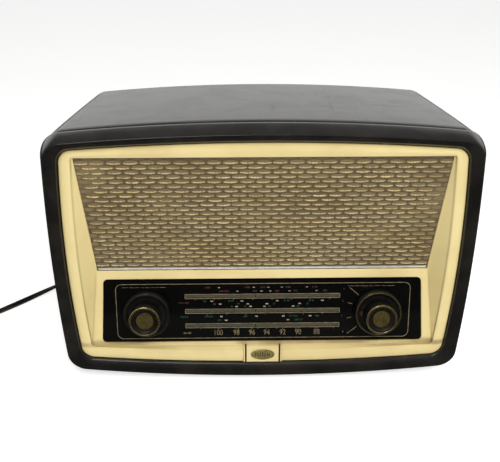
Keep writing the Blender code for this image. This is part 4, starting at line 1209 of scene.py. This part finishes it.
def make_gilt_floats():
    """A two-ply gold thread along the lower half of every float, dipping at its middle."""
    random = np.random.default_rng(7)
    steps, sides = 23, 6
    points, faces = [], []
    ring = np.linspace(0, 2 * math.pi, sides, endpoint=False)
    for _, x, up in float_centres():
        half = FLOAT_PITCH * 0.43 + random.normal(0, 0.2)
        if abs(x) + half > cloth_half(up) - 0.6 or not 0.6 < up < CLOTH_TOP - 1.6:
            continue
        phase = random.uniform(0, 2 * math.pi)
        thick = 0.33 + random.normal(0, 0.04)
        tilt = random.normal(0, 0.02)
        share = np.linspace(-1, 1, steps)
        swell = np.sqrt(np.clip(1 - np.abs(share) ** 3.5, 0.03, 1))
        dip = -1.0 + 0.55 * share**2
        for strand in (0, math.pi):
            twist = phase + strand + share * 7.2
            cx = x + share * half
            cy = up + dip + tilt * share * half + 0.50 * np.cos(twist) * swell
            cz = CLOTH_LEVEL + 0.62 + 0.34 * swell + 0.34 * np.sin(twist) * swell
            base = len(points)
            for k in range(steps):
                r = max(0.12, thick * swell[k])
                for a in ring:
                    points.append((cx[k], cy[k] + r * math.cos(a), cz[k] + r * 0.8 * math.sin(a)))
            for k in range(steps - 1):
                for s in range(sides):
                    a, b = base + k * sides + s, base + k * sides + (s + 1) % sides
                    faces.append((a, a + sides, b + sides, b))
            faces.append(tuple(base + s for s in range(sides)))
            faces.append(tuple(base + (steps - 1) * sides + s for s in reversed(range(sides))))
    bm = bmesh.new()
    verts = [bm.verts.new(p) for p in points]
    for face in faces:
        bm.faces.new([verts[i] for i in face])
    bmesh.ops.recalc_face_normals(bm, faces=bm.faces)
    return add_piece("gilt_floats", bm, FINISHES["gilt_thread"], at=GRILLE, smooth=80)


# The dial


def ring_frame(half_x, low, high, corner, width, bottom, top):
    outer = rounded_box(half_x, low, high, corner, 6)
    inner = rounded_box(half_x - width, low + width, high - width, max(0.05, corner - width), 6)
    return plate(outer, bottom, top, [inner])


def lettering(text, size, x, up, height, wide=1.0):
    """Numerals as a flat mesh, centred on a place on the dial."""
    curve = bpy.data.curves.new("numerals", "FONT")
    curve.body = text
    curve.size = size
    curve.align_x, curve.align_y = "CENTER", "CENTER"
    curve.extrude = 0.03
    curve.resolution_u = 3
    holder = bpy.data.objects.new("numerals", curve)
    bpy.context.scene.collection.objects.link(holder)
    bpy.context.view_layer.update()
    mesh = bpy.data.meshes.new_from_object(holder)
    bpy.data.objects.remove(holder)
    bm = bmesh.new()
    bm.from_mesh(mesh)
    bpy.data.meshes.remove(mesh)
    bm.transform(Matrix.Translation((x, up, height)) @ Matrix.Diagonal((wide, 1, 1, 1)))
    return bm


def line_on_dial(start, end, width, height):
    """A straight printed line between two places."""
    (x0, y0), (x1, y1) = start, end
    length = math.hypot(x1 - x0, y1 - y0)
    bar = block((length, width, 0.06))
    bar.transform(
        Matrix.Translation(((x0 + x1) / 2, (y0 + y1) / 2, height)) @ Matrix.Rotation(math.atan2(y1 - y0,
            x1 - x0), 4, "Z")
    )
    return bar


GLASS_FACE = -0.35
PRINT_LEVEL = GLASS_FACE + 0.03
WINDOWS = ((14.3, 18.3), (-2.0, 2.0), (-18.1, -14.1))
WINDOW_HALF = 80.0
PICKED_NUMBERS = ((100, -46.6), (98, -27.4), (96, -11.0), (94, 4.4), (92, 21.2), (90, 37.6), (88, 57.0))
RED_MARKS = ((25.9, ((-57, "1500"), (-16, "1400"), (0, "1300"), (26, "1200"), (54, "1100"))),
             (21.8, ((-40, "600 550"), (-8, "500"), (15, "450"), (34, "400"), (65, "350"))))
GREEN_MARKS = ((11.0, ((-60, "60"), (-33, "49 41"), (25, "31 30"), (51, "25 21"))),
               (7.8, ((-50, "55"), (-25, "49"), (12, "31"), (47, "25"))),
               (5.0, ((-32, "48"), (-18, "45"), (7, "32"), (37, "28"))),
               (-6.0, ((-56, "300 280"), (-18, "260"), (32, "240 220"), (57, "200"))),
               (-10.2, ((-45, "290"), (38, "230 215"))))
IVORY_MARKS = ((11.0, (-52.7, -21.5, 15.3, 62.3)), (7.8, (-44, -15.3, 4.5, 38.7)),
    (5.0, (-27, -12.5, 2.0, 32)),
               (-6.0, (-43, -6.3, 21.7, 49.7)), (-10.2, (-38, 26.7)), (25.9, (-45, -9, 6, 20, 46)),
               (21.8, (-26, -1, 8, 28, 56)))


def make_dial():
    holes = [circle(7.5, (x, 0)) for x in (-KNOB_X, KNOB_X)]
    for low, high in WINDOWS:
        holes.append(rounded_box(WINDOW_HALF, low, high, 0.3, 2))
    sheet = rounded_box(DIAL_HALF + 3.6, DIAL_LOW - 1.6, DIAL_HIGH + 2.2, 5)
    black = plate(sheet, -2.9, GLASS_FACE, holes)
    add_piece("dial_plate", black, FINISHES["dial_glass"], at=DIAL, replaces="dial_glass")
    panes = join(*[block((2 * WINDOW_HALF - 0.1, high - low - 0.1, 0.8),
        (0, (low + high) / 2, -0.8)) for low, high in WINDOWS])
    add_piece("dial_windows", panes, FINISHES["window_glass"], at=DIAL)

    top = PRINT_LEVEL + 0.03
    gilt = [moved(ring_frame(153.0, -30.4, 30.4, 6.5, 0.75, GLASS_FACE - 0.02, top), 0.8)]
    for low, high in WINDOWS:
        gilt.append(ring_frame(WINDOW_HALF + 0.65, low - 0.65, high + 0.65, 0.5, 0.7, GLASS_FACE - 0.02, top))
    for number, x in PICKED_NUMBERS:
        gilt.append(lettering(str(number), 8.6, x, -24.2, PRINT_LEVEL, 0.78))
    for k in range(15):
        x = -70 + 10 * k
        for index, (low, high) in enumerate(WINDOWS):
            if (k + index) % 2 == 0:
                gilt.append(block((0.5, 1.3, 0.06), (x + 2.5 * index, low - 1.4, PRINT_LEVEL)))
    for number, x in PICKED_NUMBERS:
        gilt.append(block((0.5, 1.5, 0.06), (x, WINDOWS[2][0] - 1.5, PRINT_LEVEL)))
    for side, words in ((-1, (8, 5, 7, 4, 6, 9, 8)), (1, (7, 6, 9, 5, 8, 6, 9))):
        x = -146 if side < 0 else 88
        for word in words:
            gilt.append(block((word - 1.4, 0.42, 0.05), (x + word / 2, 26.6, PRINT_LEVEL)))
            x += word
    for degrees, reach in ((139, 40.0), (218, 40.0)):
        a = math.radians(degrees)
        near, far = [(KNOB_X + 1.6 + r * math.cos(a), r * math.sin(a) - 1.4) for r in (27.2, reach)]
        gilt.append(line_on_dial(near, far, 0.7, PRINT_LEVEL))
    for degrees in (163, 193):
        a = math.radians(degrees)
        near, far = [(KNOB_X + 1.6 + r * math.cos(a), r * math.sin(a) - 1.4) for r in (28.5, 33.0)]
        gilt.append(line_on_dial(near, far, 0.7, PRINT_LEVEL))
    gilt.append(lettering("1", 3.2, 84.5, 23.6, PRINT_LEVEL))
    gilt.append(lettering("4", 3.2, 84.5, -24.4, PRINT_LEVEL))
    gilt.append(lettering("88-100", 3.0, -79, -24.4, PRINT_LEVEL))
    add_piece("gilt_printing", join(*gilt), FINISHES["gilt_print"], at=DIAL)

    red = [lettering(text, 3.0, x, up, PRINT_LEVEL) for up, row in RED_MARKS for x, text in row]
    red += [lettering("1100-1900", 2.6, -82, 9.2, PRINT_LEVEL), lettering("2", 3.2, 84, 10.0, PRINT_LEVEL)]
    add_piece("red_printing", join(*red), FINISHES["red_print"], at=DIAL)
    green = [lettering(text, 2.7, x, up, PRINT_LEVEL) for up, row in GREEN_MARKS for x, text in row]
    green += [lettering("190-550", 2.6, -82, -6.4, PRINT_LEVEL), lettering("3", 3.2, 83, -6.4, PRINT_LEVEL)]
    add_piece("green_printing", join(*green), FINISHES["green_print"], at=DIAL)
    ivory = [block((2.7, 1.15, 0.06), (x, up, PRINT_LEVEL)) for up, row in IVORY_MARKS[:5] for x in row]
    ivory += [block((2.2, 0.8, 0.05), (x, up, PRINT_LEVEL)) for up, row in IVORY_MARKS[5:] for x in row]
    add_piece("ivory_printing", join(*ivory), FINISHES["ivory_print"], at=DIAL)


def make_knobs():
    """The big knobs with their steps, the small ones with flutes, brass rings and worn discs."""
    r, face = 24.1, 11.8
    for name, x in (("tone_knob", -KNOB_X), ("wave_knob", KNOB_X)):
        profile = [(6.3, 1.2), (r - 0.5, 1.2), (r, 1.7), (r, face - 3.6), (r - 0.15, face - 2.2),
            (r - 0.6, face - 1.1)]
        profile += [(r - 1.4, face - 0.4), (r - 2.4, face - 0.2), (r - 3.4, face - 0.3),
            (r - 4.2, face - 0.8)]
        profile += [(r - 4.7, face - 1.7), (r - 5.4, face - 1.9), (r - 6.2, face - 1.6),
            (r - 7.4, face - 1.7), (6.3, face - 1.7)]
        knob = turned(profile, 144, flutes=72, flute_depth=0.25, flute_from=r - 0.01)
        at = DIAL @ Matrix.Translation((x, 0, 0))
        add_piece(name + "_skirt", knob, FINISHES["knob_black"], body=name, at=at,
            replaces=name)
    ring = [(r - 2.3, face + 0.1), (r - 2.2, face + 0.7), (r - 1.8, face + 0.9), (r - 1.2, face + 0.9),
        (r - 0.8, face + 0.6)]
    ring += [(r - 0.7, face + 0.1), (r - 0.9, face - 0.3), (r - 2.1, face - 0.1)]
    at = DIAL @ Matrix.Translation((KNOB_X, 0, 0))
    add_piece(
        "wave_ring", turned(ring, 144), FINISHES["knob_brass"], body="wave_knob", at=at,
        replaces="wave_knob_ring",
    )
    mark = finish_of("arrow_enamel", (0.050, 0.014, 0.008), (0.030, 0.010, 0.006), (0.3, 0.5), 200)
    arrow = plate([(-21.3, 0.2), (-17.6, 3.0), (-15.9, 2.4), (-15.9, -2.0), (-17.6, -2.6)], face - 1.9,
        face - 1.2)
    add_piece("wave_arrow", arrow, mark, body="wave_knob", at=at)

    r, face = 15.7, 29.0
    base = 13.2
    for name, x in (("volume_knob", -KNOB_X), ("tuning_knob", KNOB_X)):
        at = DIAL @ Matrix.Translation((x, 0, 0))
        body = [(3.0, base), (r - 1.2, base), (r - 0.6, base + 0.6), (r - 0.6, face - 2.6),
            (r - 1.0, face - 2.2)]
        body += [(r - 2.6, face - 2.2), (r - 2.6, face - 1.4), (r - 3.0, face - 1.2), (10.6, face - 3.2),
            (9.9, face - 3.3)]
        body += [(9.5, face - 3.6), (9.5, face - 4.6), (3.0, face - 4.6)]
        knob = turned(body, 192, flutes=48, flute_depth=0.55, flute_from=r - 0.61)
        add_piece(name + "_body", knob, FINISHES["knob_black"], body=name, at=at,
            replaces=name)
        rim = [(r - 2.3, face - 1.9), (r - 0.3, face - 1.9), (r, face - 1.6), (r, face - 0.9),
            (r - 0.25, face - 0.3)]
        rim += [(r - 0.8, face), (r - 1.4, face), (r - 2.0, face - 0.3), (r - 2.3, face - 0.8)]
        add_piece(
            name + "_rim", turned(rim, 144), FINISHES["knob_brass"], body=name, at=at,
            replaces=name + "_ring",
        )
        disc = [(0, face - 4.3), (8.9, face - 4.3), (8.9, face - 3.0), (8.7, face - 2.7),
            (8.2, face - 2.6), (7.6, face - 2.75)]
        disc += [(4.0, face - 2.6), (0, face - 2.55)]
        add_piece(
            name + "_cap", turned(disc, 96), FINISHES["tarnished_brass"], body=name, at=at,
            replaces=name + "_disc",
        )


# The back and the inside


def make_back():
    heads = []
    for x, z in ((-165, 40), (165, 40), (-168, 140), (168, 140), (-160, 248), (160, 248), (0, 262)):
        head = turned([(0, 0), (3.6, 0), (3.6, 0.9), (2.8, 1.6), (0, 2.0)], 24)
        slot = block((5.6, 0.7, 0.5), (0, 0, 1.9))
        heads.append(moved(join(head, slot), x, z))
    at = Matrix.Translation((0, FRONT_Y + 202.1, 0)) @ Matrix.Rotation(math.pi / 2, 4,
        "X") @ Matrix.Scale(-1, 4, (0, 0, 1))
    add_piece("cover_screws", join(*heads), FINISHES["plated_steel"], at=at)
    strip = plate(rounded_box(26, -9, 9, 2, 4), 0, 1.6, [circle(2.2, (x, 0), 24) for x in (-16, 0, 16)])
    strip = moved(strip, 96, 40)
    add_piece("aerial_strip", strip, FINISHES["switch_paxolin"], at=at)
    sockets = [moved(turned([(2.2, -1), (3.6, -1), (3.6, 2.2), (3.2, 2.6), (2.2, 2.6)], 32), 96 + x,
        40) for x in (-16, 0, 16)]
    add_piece("aerial_sockets", join(*sockets), FINISHES["knob_brass"], at=at)


def make_inside():
    """Anodes and holders for the valves, and the ferrite rod with its windings and brackets."""
    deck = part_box("chassis")[1].z / MM
    anodes, holders = [], []
    for k in range(1, 6):
        low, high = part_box(f"valve_{k}")
        x, y = (low.x + high.x) / 2 / MM, (low.y + high.y) / 2 / MM - FRONT_Y
        tall = (high.z - low.z) / MM
        anodes.append(moved(turned([(0, 10), (5.5, 10), (5.5, tall * 0.66), (0, tall * 0.66)], 24, 1.15),
            x, y, deck))
        holders.append(moved(turned([(11.4, 0.05), (14, 0.05), (14, 5), (11.4, 5)], 32), x, y, deck))
    add_piece("valve_anodes", join(*anodes), FINISHES["transformer_iron"])
    add_piece("valve_holders", join(*holders), FINISHES["switch_paxolin"])
    rod = tube([(x, 150, 256) for x in (-70, 0, 70)], 4.5, 24)
    coils = [tube([(x, 150, 256), (x + 12, 150, 256), (x + 24, 150, 256)], 6.2, 24) for x in (-56, 30)]
    brackets = [block((3, 10, 12), (x, 150, 259)) for x in (-66, 66)]
    add_piece("ferrite_rod", rod, FINISHES["transformer_iron"])
    add_piece("aerial_windings", join(*coils), FINISHES["drive_thread"])
    add_piece("rod_brackets", join(*brackets), FINISHES["black_rubber"])


SOFTENED = {
    "mains_transformer": 0.8, "output_transformer": 0.8, "if_can_1": 1.2, "if_can_2": 1.2, "rear_cover": 0.4,
    "grille_trim_strip": 0.3, "foot_front_left": 0.5, "foot_front_right": 0.5, "foot_rear_left": 0.5,
    "foot_rear_right": 0.5, "dial_backplate": 0.2, "control_bracket": 0.2, "gang_frame": 0.2,
}


def dress_nodes():
    """Every carried-over part gets the finish of its record's slot, and the boxy ones rounded edges."""
    for row in frame["record"]["subparts"]:
        node = NODES[row["node"]]
        node.data.materials.clear()
        # The grille's chrome trim strip gets light grey paint, a painted reflection, in place of its slot's
        # finish.
        trim = row["node"] == "grille_trim_strip"
        node.data.materials.append(FINISHES["trim_painted_reflection" if trim else row["material_slot"]])
        node.data.shade_smooth()
        node.data.set_sharp_from_angle(angle=math.radians(35))
        if row["node"] in SOFTENED:
            soften(node, SOFTENED[row["node"]])


make_camera()
make_studio()
dress_nodes()
make_lead()
make_cabinet()
make_front()
make_badge()
make_cloth()
make_dial()
make_knobs()
make_back()
make_inside()
